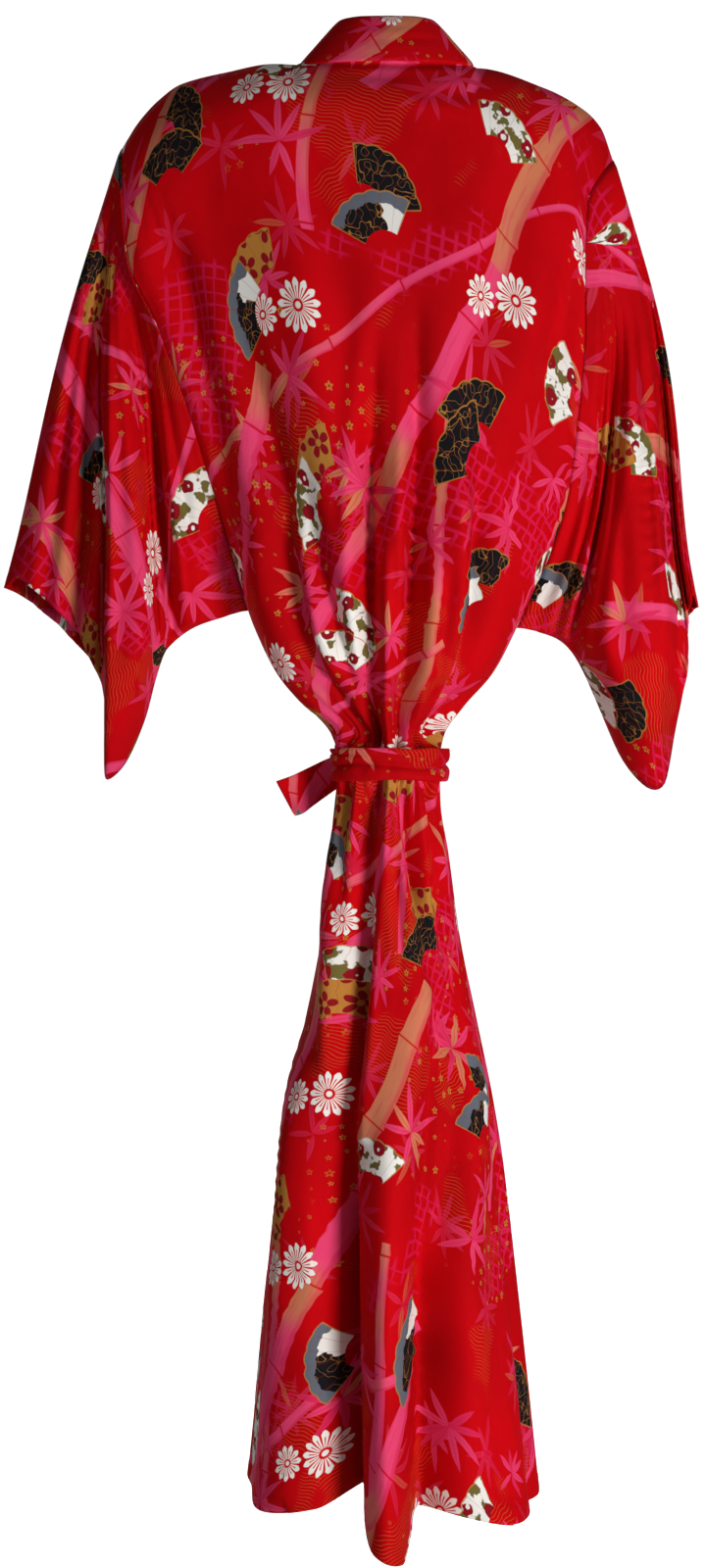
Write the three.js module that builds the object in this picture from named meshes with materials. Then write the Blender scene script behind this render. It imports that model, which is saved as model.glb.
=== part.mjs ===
// A cotton yukata that hangs hollow from its shoulders, tied tightly at the waist with its own belt.
// Millimetres, +Z up. The origin is inside the shoulders at the foot of the collar. -Y is the garment's
// back and +Y its front, so the wearer's left is at -X. Every piece is a thin wall of cloth.
import * as THREE from "three";

// Driving dimensions
const CLOTH = 1.2; // wall of a single layer of cloth
const DOUBLED = 2.2; // wall of the collar and belt, which are folded cloth
const SEAM = 0.3; // gap between two pieces where they are sewn
const ARMHOLE = 454; // from the shoulder tip down to the underarm, along the sleeve seam
const LENGTH = 1320; // from the shoulder line down to the hem, along the cloth
const WAIST = 626; // how far down the middle of the belt is
const NECK_HALF = 83; // half the width of the neck, at the shoulder seams
const NECK_BACK = 37; // how far the back neck dips behind the shoulder seams
const NECK_HEIGHT = 12; // height of the collar's seam at the back
const SHOULDER_CREST = 16; // how far the outer front rises above its shoulder seam
const COLLAR_WIDTH = 55; // finished width of the collar band
const COLLAR_END = 850; // how far down the fronts the collar runs
const SLEEVE_WIDTH = 425; // from the sleeve seam to the cuff
const SLEEVE_DEPTH = 490; // from the top fold to the bottom seam
const SLEEVE_CORNER = 85; // radius of the outer bottom corner
const CUFF = 235; // open length of the cuff, from the top fold down
const BELT_WIDTH = 36; // height of the belt's band where it goes round the waist
const TUCK = 5; // how far the inner front lies behind the outer one, above the belt and under it
const SKIRT_TUCK = 11; // and below it, where the cloth hangs loose

const RED = 0xb80d1c;
const cloth = (colour) => new THREE.MeshStandardMaterial({ color: colour, roughness: 0.85, metalness: 0 });

// Small helpers
const clamp01 = (x) => Math.min(1, Math.max(0, x));
const smooth = (x) => clamp01(x) ** 2 * (3 - 2 * clamp01(x));
const mix = (a, b, t) => a + (b - a) * t;
const rounded = (x) => Math.sqrt(1 - (1 - clamp01(x)) ** 2); // a quarter circle, from 0 up to 1
const bump = (x) => Math.exp(-x * x);
const radians = THREE.MathUtils.degToRad;

// A table with named columns. at(x) gives every column at x, on smooth curves that never overshoot.
function table(names, rows) {
  const keys = rows.map((row) => row[0]);
  const columns = names.slice(1).map((name, k) => [name, rows.map((row) => row[k + 1])]);
  const slopes = columns.map(([, values]) => {
    const steps = keys.slice(1).map((key, i) => (values[i + 1] - values[i]) / (key - keys[i]));
    return values.map((_, i) => {
      const before = steps[Math.max(0, i - 1)];
      const after = steps[Math.min(steps.length - 1, i)];
      return before * after <= 0 ? 0 : (2 * before * after) / (before + after);
    });
  });
  return (x) => {
    let i = 0;
    while (i < keys.length - 2 && x > keys[i + 1]) i++;
    const span = keys[i + 1] - keys[i];
    const t = clamp01((x - keys[i]) / span);
    const found = {};
    columns.forEach(([name, values], k) => {
      const [a, b] = [values[i], values[i + 1]];
      const [da, db] = [slopes[k][i] * span, slopes[k][i + 1] * span];
      found[name] = a + t * (da + t * (3 * (b - a) - 2 * da - db + t * (2 * (a - b) + da + db)));
    });
    return found;
  };
}

// The body, row by row down its side edges: the sleeve seams as far as the underarm, then the side seams.
// back and front are how deep the form is, edge how far the side edges stand from the middle plane, and
// turn how far round the section goes before it meets the edge, in degrees.
const bodyRow = table(
  ["down", "leftX", "leftZ", "rightX", "rightZ", "back", "front", "edge", "turn"],
  [
    [0, -247, -63, 211, -74, 0, 0, 0, 56],
    [12, -246.5, -75, 203, -84, 26, 24, 13, 56],
    [51, -245, -114, 186, -117, 66, 58, 28, 58],
    [114, -238, -177, 183, -180, 86, 76, 36, 58],
    [168, -216, -225, 183, -234, 96, 86, 38, 59],
    [249, -188, -298, 177, -312, 104, 94, 36, 62],
    [323, -166, -369, 168, -386, 107, 97, 30, 66],
    [380, -149, -424, 152, -441, 105, 95, 20, 74],
    [428, -136, -470, 132, -487, 100, 90, 7, 86],
    [ARMHOLE, -129, -495, 121, -511, 96, 86, 0, 90],
    [504, -106, -543, 99, -553, 84, 74, 0, 90],
    [550, -77, -580, 72, -584, 64, 56, 0, 90],
    [590, -49, -612, 53, -612, 45, 40, 0, 90],
    [WAIST, -43, -637, 49, -637, 37, 34, 0, 90],
    [665, -45, -676, 50, -676, 39, 36, 0, 90],
    [710, -51, -720, 57, -720, 47, 43, 0, 90],
    [790, -60, -799, 68, -799, 60, 54, 0, 90],
    [870, -76, -878, 84, -878, 73, 67, 0, 90],
    [945, -91, -951, 99, -951, 83, 77, 0, 90],
    [1010, -100, -1014, 109, -1014, 92, 86, 0, 90],
    [1135, -112, -1137, 123, -1137, 105, 98, 0, 90],
    [1240, -121, -1240, 134, -1240, 115, 107, 0, 90],
    [LENGTH, -130, -1319, 142, -1319, 121, 113, 0, 90],
  ],
);

// The shoulder seam as the back panel's top edge has it, from the left shoulder tip to the right one.
const shoulderSeam = table(
  ["x", "z"],
  [
    [-247, -63],
    [-232, -39],
    [-213, -18],
    [-192, -3],
    [-150, 8],
    [-105, 16],
    [-NECK_HALF, NECK_HEIGHT + 3],
    [0, NECK_HEIGHT],
    [NECK_HALF, NECK_HEIGHT],
    [148, -7],
    [184, -27],
    [200, -44],
    [211, -74],
  ],
);

// Where the hem hangs lower or higher than a level line, from the left side seam to the right one.
const hemDrop = table(
  ["share", "lift"],
  [
    [-1, 16],
    [-0.62, -4],
    [-0.36, 4],
    [-0.22, 20],
    [-0.08, -30],
    [0.03, -40],
    [0.14, 4],
    [0.55, -12],
    [1, 4],
  ],
);

// The largest folds. share is where a fold lies across its panel, from -1 at the left seam to 1 at the
// right, at its top, middle and bottom. from and to are how far down it runs. depth is in millimetres,
// below zero for a ridge, and wide is its half width as a share.
const foldColumns = ["from", "to", "top", "middle", "bottom", "wide", "depthTop", "depthBottom"];
const backFolds = [
  [250, 640, -0.1, -0.14, -0.2, 0.075, 6, 16],
  [330, 640, 0.06, 0.1, 0.13, 0.065, 4, 12],
  [380, 640, -0.36, -0.42, -0.44, 0.09, 5, 9],
  [420, 640, 0.46, 0.5, 0.56, 0.09, 6, 9],
  [60, 420, -0.62, -0.55, -0.5, 0.12, 5, 5],
  [40, 420, 0.6, 0.55, 0.56, 0.12, 5, 5],
  [100, 520, 0.28, 0.3, 0.32, 0.09, -3, -7],
  [100, 520, -0.28, -0.26, -0.3, 0.09, -3, -7],
  [640, 1400, -0.16, -0.35, -0.22, 0.105, 8, 48],
  [640, 980, -0.02, -0.16, -0.2, 0.06, -5, -8],
  [640, 900, 0.16, 0.28, 0.5, 0.08, 8, 8],
  [820, 1400, 0.62, 0.24, 0.12, 0.1, 10, 34],
  [860, 1400, 0.5, 0.56, 0.52, 0.16, -4, -12],
  [860, 1400, -0.62, -0.66, -0.66, 0.15, -4, -14],
  [900, 1400, -0.06, -0.04, -0.04, 0.11, -6, -16],
  [900, 1400, 0.86, 0.84, 0.8, 0.07, 3, 12],
].map(nameColumns(foldColumns));
const frontFolds = [
  [300, 640, -0.5, -0.46, -0.4, 0.1, 5, 9],
  [300, 640, 0.5, 0.44, 0.36, 0.1, 5, 9],
  [420, 640, 0.05, 0.03, 0, 0.08, 3, 7],
  [640, 1400, -0.45, -0.5, -0.42, 0.11, 6, 30],
  [640, 1400, 0.4, 0.46, 0.5, 0.11, 6, 28],
  [760, 1400, 0.02, -0.02, 0.04, 0.12, 4, 20],
  [820, 1400, -0.2, -0.22, -0.2, 0.13, -4, -13],
  [820, 1400, 0.24, 0.22, 0.26, 0.13, -4, -12],
].map(nameColumns(foldColumns));
const BACK_PLEATS = { count: 8, height: 4.2, above: 115, below: 105 };
const FRONT_PLEATS = { count: 10, height: 2.6, above: 95, below: 90 };

function nameColumns(names) {
  return (row) => Object.fromEntries(names.map((name, k) => [name, row[k]]));
}

// How far the folds and the waist's gathers push the cloth out, at a share across and a distance down.
function pushedOut(folds, pleats, share, down) {
  let out = 0;
  for (const fold of folds) {
    const run = (down - fold.from) / (fold.to - fold.from);
    if (run <= 0 || run >= 1) continue;
    const [early, late] = [mix(fold.top, fold.middle, clamp01(2 * run)), mix(fold.middle, fold.bottom, 2 * run - 1)];
    const centre = run < 0.5 ? early : late;
    const swell = smooth(run * 5) * mix(fold.depthTop, fold.depthBottom, run);
    out -= swell * bump((share - centre) / fold.wide);
  }
  const away = down < WAIST ? (WAIST - down) / pleats.above : (down - WAIST) / pleats.below;
  const ripple = Math.cos(Math.PI * pleats.count * (share + 0.02 * Math.sin(5 * share)));
  out += pleats.height * ripple * bump(1.3 * away);
  return out * smooth((1 - Math.abs(share)) * 9);
}

// A point of the body's form. half is -1 for the back and 1 for the front.
function bodyForm(half, share, down) {
  const row = bodyRow(down);
  const turn = radians(row.turn);
  const centre = (row.leftX + row.rightX) / 2;
  const reach = (row.rightX - row.leftX) / 2;
  const angle = share * turn;
  const rise = (Math.cos(angle) - Math.cos(turn)) / (1 - Math.cos(turn));
  const depth = (half < 0 ? row.back : row.front) - row.edge;
  const x = centre + (reach * Math.sin(angle)) / Math.sin(turn);
  const settled = rounded(down / 75);
  const neck = half < 0 ? NECK_BACK * Math.sqrt(Math.max(0, 1 - (x / NECK_HALF) ** 2)) * (1 - settled) : 0;
  const y = half * (row.edge + SEAM / 2 + depth * rise + neck);
  const level = mix(row.leftZ, row.rightZ, (share + 1) / 2);
  const top = bodyRow(0);
  const topTurn = radians(top.turn);
  const topX = (top.leftX + top.rightX + ((top.rightX - top.leftX) * Math.sin(share * topTurn)) / Math.sin(topTurn)) / 2;
  const crown = shoulderSeam(topX).z - mix(top.leftZ, top.rightZ, (share + 1) / 2);
  const hanging = smooth((down - 980) / (LENGTH - 980));
  const crest = half > 0 ? SHOULDER_CREST * bump((x + 135) / 52) * smooth(down / 26) * bump((down - 26) / 60) : 0;
  const z = level + crown * (1 - smooth(down / 430)) + crest + hemDrop(share).lift * hanging;
  return new THREE.Vector3(x, y, z);
}

// The same with its folds and gathers, moved out along the level normal of the section. inward is how far
// the point lies behind the outer form.
function bodyPoint(half, share, down, inward = 0) {
  const point = bodyForm(half, share, down);
  const step = 0.01;
  const along = bodyForm(half, share + step, down).sub(bodyForm(half, share - step, down));
  const outward = new THREE.Vector3(-along.y, along.x, 0).multiplyScalar(half).normalize();
  const [folds, pleats] = half < 0 ? [backFolds, BACK_PLEATS] : [frontFolds, FRONT_PLEATS];
  return point.addScaledVector(outward, pushedOut(folds, pleats, share, down) - inward);
}

// The direction in which the cloth faces along the sleeve seam, shared by body and sleeve so that their
// ends lie side by side. side is -1 at the left and 1 at the right.
const seamTurn = table(
  ["down", "lift", "aside"],
  [
    [0, 90, 0],
    [20, 50, 12],
    [60, 12, 20],
    [250, 0, 24],
    [380, 0, 38],
    [430, 0, 60],
    [ARMHOLE, 0, 88],
    [ARMHOLE + 1, 0, 90],
  ],
);
function seamFacing(side, half, down) {
  const { lift, aside } = seamTurn(down);
  const level = Math.cos(radians(lift));
  return new THREE.Vector3(
    side * level * Math.sin(radians(aside)),
    half * level * Math.cos(radians(aside)),
    Math.sin(radians(lift)),
  );
}

// Makes a closed wall from a grid of points, rows[i][j]. Its outer face is on the side to which
// (next row) x (next column) points. facings may hold a direction for points of the rim. loop joins the
// last column to the first. Points of one row that fall together are left out of the faces.
function wall(name, rows, thick, facings = new Map(), loop = false) {
  const high = rows.length;
  const wide = rows[0].length;
  const at = (i, j) => rows[i][loop ? (j + wide) % wide : Math.min(wide - 1, Math.max(0, j))];
  const places = [];
  for (const side of [0.5, -0.5])
    for (let i = 0; i < high; i++)
      for (let j = 0; j < wide; j++) {
        const across = at(i, j + 1).clone().sub(at(i, j - 1));
        const along = at(Math.min(high - 1, i + 1), j).clone().sub(at(Math.max(0, i - 1), j));
        const facing = facings.get(i * wide + j) ?? along.cross(across).normalize();
        places.push(at(i, j).clone().addScaledVector(facing, side * thick));
      }
  const index = [];
  const inner = high * wide;
  const face = (a, b, c, d) => {
    for (const [p, q, r] of [[a, b, c], [a, c, d]]) {
      const thin = [[p, q], [q, r], [r, p]].some(([m, n]) => places[m].distanceTo(places[n]) < 2e-3);
      if (!thin) index.push(p, q, r);
    }
  };
  const columns = loop ? wide : wide - 1;
  for (let i = 0; i < high - 1; i++)
    for (let j = 0; j < columns; j++) {
      const [a, b] = [i * wide + j, i * wide + ((j + 1) % wide)];
      face(a, a + wide, b + wide, b);
      face(inner + a, inner + b, inner + b + wide, inner + a + wide);
    }
  for (let j = 0; j < columns; j++) {
    const [a, b] = [j, (j + 1) % wide];
    const [c, d] = [(high - 1) * wide + a, (high - 1) * wide + b];
    face(a, b, inner + b, inner + a);
    face(c, inner + c, inner + d, d);
  }
  if (!loop)
    for (let i = 0; i < high - 1; i++) {
      const [a, b] = [i * wide, (i + 1) * wide];
      face(a, inner + a, inner + b, b);
      const [c, d] = [a + wide - 1, b + wide - 1];
      face(c, d, inner + d, inner + c);
    }
  const geometry = new THREE.BufferGeometry();
  geometry.setAttribute("position", new THREE.Float32BufferAttribute(places.flatMap((p) => p.toArray()), 3));
  geometry.setIndex(index);
  geometry.computeVertexNormals();
  const mesh = new THREE.Mesh(geometry, cloth(RED));
  mesh.name = name;
  return mesh;
}

// n + 1 values from a to b
const steps = (a, b, n) => Array.from({ length: n + 1 }, (_, i) => mix(a, b, i / n));

// The rows of cloth that every body panel has, closer together at the shoulder and the waist.
const bodyRows = [
  0, 14, 42, 90, 150, 220, 290, 350, 405, ARMHOLE, 500, 545, 580, 606, 632, 656, 690, 740, 810, 900, 1000, 1100, 1210,
  LENGTH,
];

// The direction in which the cloth faces on the shoulder seam: straight up from the seam's line.
function ridgeFacing(half, share) {
  const along = bodyForm(half, share + 0.01, 0).sub(bodyForm(half, share - 0.01, 0));
  return new THREE.Vector3(-along.z, 0, along.x).normalize();
}

// The back: one panel from seam to seam.
const BACK_COLUMNS = 48;
function makeBack() {
  const shares = steps(-1, 1, BACK_COLUMNS);
  const rows = bodyRows.map((down) => shares.map((share) => bodyPoint(-1, share, down)));
  const facings = new Map();
  bodyRows.forEach((down, i) => {
    facings.set(i * shares.length, seamFacing(-1, -1, down));
    facings.set((i + 1) * shares.length - 1, seamFacing(1, -1, down));
  });
  shares.slice(1, -1).forEach((share, j) => {
    if (Math.abs(rows[0][j + 1].x) > NECK_HALF) facings.set(j + 1, ridgeFacing(-1, share));
  });
  return wall("back", rows, CLOTH, facings);
}

// How far across the front the neckline and the front edge run, for the outer (wearer's left) front and for
// the inner one, where 0 is the middle.
const frontEdge = table(
  ["down", "outer", "inner"],
  [
    [0, -0.243, -0.383],
    [60, -0.235, -0.33],
    [130, -0.19, -0.24],
    [210, -0.09, -0.1],
    [290, 0.04, 0.04],
    [380, 0.2, 0.2],
    [480, 0.34, 0.34],
    [580, 0.44, 0.44],
    [700, 0.5, 0.5],
    [850, 0.54, 0.54],
    [LENGTH, 0.54, 0.54],
  ],
);
const edgeShare = (side, down) => (side < 0 ? frontEdge(down).outer : frontEdge(down).inner);
const OVERLAP_FROM = 285; // how far down the overlap's pointed top is

// A point of one front. side is -1 for the outer, left one and 1 for the inner, right one, which lies
// further in wherever the outer one covers it. share is counted from the side seam at -1.
function frontPoint(side, share, down, inward = 0) {
  const tucked = mix(TUCK, SKIRT_TUCK, smooth((down - 690) / 200)) * smooth((down - 60) / 140);
  const covered = side > 0 ? tucked * smooth((share + 0.985) / 0.2) : 0;
  return bodyPoint(1, -side * share, down, covered + inward);
}

// The direction in which a front faces, worked out from the form, so that pieces agree where they meet.
function frontFacing(side, share, down) {
  const [across, along] = [0.004, 3];
  const sideways = frontPoint(side, share + across, down).sub(frontPoint(side, share - across, down));
  const downward = frontPoint(side, share, down + along).sub(frontPoint(side, share, Math.max(0, down - along)));
  return downward.cross(sideways).multiplyScalar(side).normalize();
}

// One front, from its side seam to the neckline and then to the middle, where the overlap is sewn on.
const FRONT_COLUMNS = 20;
const SEAM_SHARE = 0.0011; // half the gap of the middle seam, as a share of the front
function makeFront(name, side) {
  const facings = new Map();
  const rows = bodyRows.map((down, i) => {
    const edge = Math.min(edgeShare(side, down), -SEAM_SHARE);
    const [first, last] = [i * (FRONT_COLUMNS + 1), (i + 1) * (FRONT_COLUMNS + 1) - 1];
    facings.set(side > 0 ? first : last, seamFacing(side, 1, down));
    facings.set(side > 0 ? last : first, frontFacing(side, edge, down));
    const shares = side > 0 ? steps(-1, edge, FRONT_COLUMNS) : steps(edge, -1, FRONT_COLUMNS);
    if (i === 0)
      shares.forEach((share, j) => {
        if (share > -1) facings.set(j, ridgeFacing(1, -side * share));
      });
    return shares.map((share) => frontPoint(side, share, down));
  });
  return wall(name, rows, CLOTH, facings);
}

// One overlap, a long strip with a pointed top beside the neckline.
const OVERLAP_COLUMNS = 5;
function makeOverlap(name, side) {
  const facings = new Map();
  const rows = bodyRows
    .filter((down) => down > OVERLAP_FROM)
    .map((down, i) => {
      const seam = i * (OVERLAP_COLUMNS + 1) + (side > 0 ? 0 : OVERLAP_COLUMNS);
      facings.set(seam, frontFacing(side, SEAM_SHARE, down));
      const shares = steps(SEAM_SHARE, edgeShare(side, down), OVERLAP_COLUMNS);
      return (side > 0 ? shares : shares.reverse()).map((share) => frontPoint(side, share, down));
    });
  return wall(name, rows, CLOTH, facings);
}

// A sleeve hangs from the shoulder tip. Its cloth is a bag, folded over at the top, whose 90 degree corner
// falls in folds that run out from the tip like rays. Each row is one ray: its angle in the cloth, measured
// from the top fold, the angles at which it hangs near the shoulder and far from it (outward is above zero),
// and how far the folds swell to the back and to the front there, as a share of the ray's length.
const rayColumns = ["ray", "near", "far", "swell"];
const leftRays = table(rayColumns, [
  [0, 17.5, 14.8, 0],
  [8, 15.5, 12.2, 0.055],
  [15, 13.5, 9.5, 0.062],
  [21, 11, 6.6, 0.045],
  [26, 9, 4.2, 0.012],
  [31, 7, 2.2, 0.03],
  [36, 6, 0.8, 0.1],
  [41, 5, 0.1, 0.16],
  [47, 4, -0.6, 0.185],
  [53, 2.5, -2.2, 0.175],
  [58, 1, -3.9, 0.12],
  [63, -0.5, -5.1, 0.05],
  [68, -1.5, -6.2, 0.014],
  [73, -2.2, -8, 0.03],
  [78, -2.6, -10, 0.09],
  [84, -2.7, -13, 0.075],
  [90, -2.7, -15.4, 0.03],
]);
const rightRays = table(rayColumns, [
  [0, 16.5, 10.6, 0],
  [7, 15.8, 9.9, 0.03],
  [13, 14.8, 9.3, 0.026],
  [19, 13.8, 8.8, 0.024],
  [25, 12.8, 8.4, 0.045],
  [31, 11.8, 7.5, 0.078],
  [38, 10.3, 5.9, 0.15],
  [44, 9, 4.3, 0.175],
  [50, 7, 1.8, 0.18],
  [56, 5, -1.1, 0.17],
  [62, 3, -3.2, 0.13],
  [67, 1.5, -4.6, 0.08],
  [71, 0, -5.6, 0.045],
  [76, -2, -6.9, 0.04],
  [81, -4.5, -8.4, 0.065],
  [86, -7, -10, 0.05],
  [90, -9, -11.6, 0.03],
]);
const CAP = 90; // how far from the shoulder tip the rays begin
const SLEEVE_SEAM = 0.5; // gap of the curved sleeve seams, which their straight steps narrow in places
const UNDERARM_CLEAR = 2.4; // how far outside the side seam the sleeve's lower corner is
const CLOSING = 130; // over how long the two layers come together towards their seams
const MOST_SWELL = 82; // how far a fold swells at most

// A place on the body's edge along the sleeve seam, on the straight stretches between the panels' rows, and
// the direction the cloth faces there.
function seamPlace(side, half, down) {
  const next = Math.max(1, bodyRows.findIndex((row) => row >= down - 1e-6));
  const [above, below] = [bodyRows[next - 1], bodyRows[next]];
  const t = (down - above) / (below - above);
  const at = bodyPoint(half, side, above).lerp(bodyPoint(half, side, below), t);
  const facing = seamFacing(side, half, above).lerp(seamFacing(side, half, below), t).normalize();
  const away = bodyPoint(half, side, below).sub(bodyPoint(half, side, above)).cross(facing).normalize();
  if (away.x * side < 0) away.negate();
  return { at, facing, away };
}

// Where a place in a sleeve's flat cloth hangs, between its two layers. aside is its distance from the
// sleeve seam and below its distance from the top fold.
function sleeveMiddle(side, aside, below) {
  const rays = side < 0 ? leftRays : rightRays;
  const reach = Math.hypot(aside, below);
  const ray = THREE.MathUtils.radToDeg(Math.atan2(below, aside));
  const tip = bodyRow(0);
  const from = new THREE.Vector3(side < 0 ? tip.leftX : tip.rightX, 0, side < 0 ? tip.leftZ : tip.rightZ);
  const hang = (row) => {
    const lean = radians(mix(row.near, row.far, smooth((reach - 90) / 300)));
    return new THREE.Vector3(side * Math.sin(lean), 0, -Math.cos(lean)).multiplyScalar(reach);
  };
  const seam = bodyRow(Math.min(reach, ARMHOLE));
  const edge = new THREE.Vector3(side < 0 ? seam.leftX : seam.rightX, 0, side < 0 ? seam.leftZ : seam.rightZ);
  const shift = edge.sub(from).sub(hang(rays(90)));
  return from.add(hang(rays(ray))).addScaledVector(shift, smooth((ray - 35) / 55));
}

// How far out from the shoulder tip the sleeve's cloth goes along one ray.
function sleeveRim(ray) {
  const [c, s] = [Math.cos(radians(ray)), Math.sin(radians(ray))];
  const bottom = mix(SLEEVE_DEPTH, ARMHOLE, smooth((ray - 55) / 35));
  const straight = Math.min(c > 1e-6 ? SLEEVE_WIDTH / c : Infinity, s > 1e-6 ? bottom / s : Infinity);
  const [cx, cy] = [SLEEVE_WIDTH - SLEEVE_CORNER, SLEEVE_DEPTH - SLEEVE_CORNER];
  const along = c * cx + s * cy;
  const inside = SLEEVE_CORNER ** 2 - (cx * cx + cy * cy - along * along);
  const reach = inside > 0 ? along + Math.sqrt(inside) : Infinity;
  return reach * c > cx && reach * s > cy ? Math.min(reach, straight) : straight;
}

// A point of a sleeve. turn runs from -90 at the back seam over the top fold at 0 to 90 at the front seam.
// out runs from -1 at the sleeve seam over the shoulder tip to 0 where the rays begin and 1 at the rim.
function sleevePoint(side, turn, out) {
  const ray = Math.abs(turn);
  const [c, s] = [Math.cos(radians(ray)), Math.sin(radians(ray))];
  const rim = sleeveRim(ray);
  const reach = mix(CAP, rim, Math.max(0, out));
  const aside = reach * c * Math.min(1, 1 + out);
  const below = reach * s;
  const swell = (side < 0 ? leftRays : rightRays)(ray).swell * reach * smooth((reach + 60) / 260);
  const loose = MOST_SWELL * Math.tanh(swell / MOST_SWELL);
  const open = mix(loose, bodyRow(Math.min(below, ARMHOLE)).edge, 1 - smooth(aside / 110));
  const sewn = smooth((below - CUFF * 0.8) / (CUFF * 0.4));
  const closing = mix(1, Math.sin((Math.PI / 2) * clamp01((rim - reach) / CLOSING)), sewn);
  const apart = turn === 0 ? 0 : (turn < 0 ? -1 : 1) * Math.max(SEAM / 2, open * closing);
  const beside = mix(SLEEVE_SEAM + 0.8, UNDERARM_CLEAR + 0.8, smooth((below - 300) / 150)) * smooth(aside / 6);
  return sleeveMiddle(side, aside, below).add(new THREE.Vector3(side * beside, apart, 0));
}

// One sleeve: a bag of one piece of cloth. Its bottom and the lower part of its outer edge are sewn shut, and
// the cuff above that is open.
const LEFT_TURNS = [90, 83, 78, 73, 68, 63, 58, 53, 47, 41, 36, 31, 26, 21, 15, 8];
const RIGHT_TURNS = [90, 84, 79, 75, 71, 67, 62, 56, 50, 44, 38, 31, 25, 19, 13, 7];
const SLEEVE_STEPS = [150, 220, 290, 350, 405, 435, 448, ARMHOLE].map((down) => (down - CAP) / (ARMHOLE - CAP));
const CUFF_TURN = THREE.MathUtils.radToDeg(Math.atan2(CUFF, SLEEVE_WIDTH));
const SLEEVE_OUT = [-1, -0.5, 0, ...SLEEVE_STEPS];
function makeSleeve(name, side) {
  const under = side < 0 ? LEFT_TURNS : RIGHT_TURNS;
  const turns = [...under.map((turn) => -turn), 0, ...under.slice().reverse()];
  const ordered = side > 0 ? turns : turns.slice().reverse();
  const facings = new Map();
  const rows = SLEEVE_OUT.map((out, i) =>
    ordered.map((turn, j) => {
      if (out === 1 && Math.abs(turn) > CUFF_TURN)
        facings.set(i * ordered.length + j, sleevePoint(side, turn, 1).sub(sleevePoint(side, turn, 0.9)).setY(0).normalize());
      if (out > -1 && Math.abs(turn) < 90) return sleevePoint(side, turn, out);
      const down = out <= 0 ? CAP * Math.sin(radians(Math.abs(turn))) : mix(CAP, ARMHOLE, out);
      const half = turn < 0 ? -1 : 1;
      const seam = seamPlace(side, half, down);
      const low = smooth((down - 380) / 74);
      const plain = new THREE.Vector3(0, half, 0);
      const facing = out === 1 ? new THREE.Vector3(0, 0, -1) : seam.facing.lerp(plain, low).normalize();
      facings.set(i * ordered.length + j, facing);
      const clear = seam.away.multiplyScalar(SLEEVE_SEAM * (1 - low));
      return seam.at.add(clear).add(new THREE.Vector3(side * low * UNDERARM_CLEAR, 0, 0));
    }),
  );
  return wall(name, rows, CLOTH, facings);
}

// The collar. round is how far round the neck a section is, from the middle of the back at 0 to a shoulder
// seam at 1. base is where it is sewn on and free is its upper edge.
const collarRound = table(
  ["round", "baseX", "baseY", "baseZ", "freeX", "freeY", "freeZ"],
  [
    [0, 0, -39, 14.6, 0, -18, 57.5],
    [0.35, 33, -35.5, 14.6, 22, -16, 57.5],
    [0.65, 62, -24, 14.8, 39, -7, 57],
    [0.88, 77.5, -9, 15.4, 46, 4, 55.5],
    [1, 80.6, 0.5, 16.4, 47, 13, 53],
  ],
);
const COLLAR_STANDS = 150; // how far down the fronts it has laid itself against the form
const COLLAR_SHARE = 0.27; // its width at most, as a share of a front, where the cloth is gathered

// A point of the collar round the neck. over runs from 0 at its seam to 1 at its free edge.
function collarAtNeck(side, round, over) {
  const row = collarRound(round);
  const base = new THREE.Vector3(side * row.baseX, row.baseY, row.baseZ);
  return base.lerp(new THREE.Vector3(side * row.freeX, row.freeY, row.freeZ), over);
}

// A point of the collar on a front, where it goes on from the neckline over the form of the body.
function collarOnFront(side, down, over) {
  const [above, below] = [Math.max(0, down - 5), down + 5];
  const section = bodyForm(1, 0.05, down).distanceTo(bodyForm(1, -0.05, down)) / 0.1;
  const slant = (edgeShare(side, below) - edgeShare(side, above)) * section;
  const [tiltX, tiltZ] = new THREE.Vector2(below - above, slant).normalize().toArray();
  const wide = Math.min(COLLAR_WIDTH / section, COLLAR_SHARE);
  const edge = Math.max(edgeShare(side, down), down > OVERLAP_FROM ? SEAM_SHARE : -1) + COLLAR_SEAM / section;
  const base = frontPoint(side, edge, down);
  const lying = frontPoint(side, edge + wide * over * tiltX, Math.max(0, down - COLLAR_WIDTH * over * tiltZ));
  const standing = collarAtNeck(side, 1, over).sub(collarAtNeck(side, 1, 0)).add(base);
  return standing.lerp(lying, smooth(down / COLLAR_STANDS));
}

const COLLAR_SEAM = 1.5; // gap between the collar's middle and the neckline, as its wall is the thicker
const COLLAR_COLUMNS = 4;
function makeCollar() {
  const overs = steps(0, 1, COLLAR_COLUMNS);
  const downs = bodyRows.filter((down) => down <= COLLAR_END);
  const front = (side) => downs.map((down) => overs.map((over) => collarOnFront(side, down, over)));
  const neck = (side) => [0.95, 0.8, 0.6, 0.4, 0.2].map((round) => overs.map((over) => collarAtNeck(side, round, over)));
  const middle = [overs.map((over) => collarAtNeck(1, 0, over))];
  const rows = [...front(-1).reverse(), ...neck(-1), ...middle, ...neck(1).reverse(), ...front(1)];
  return wall("collar", rows, DOUBLED);
}

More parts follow.
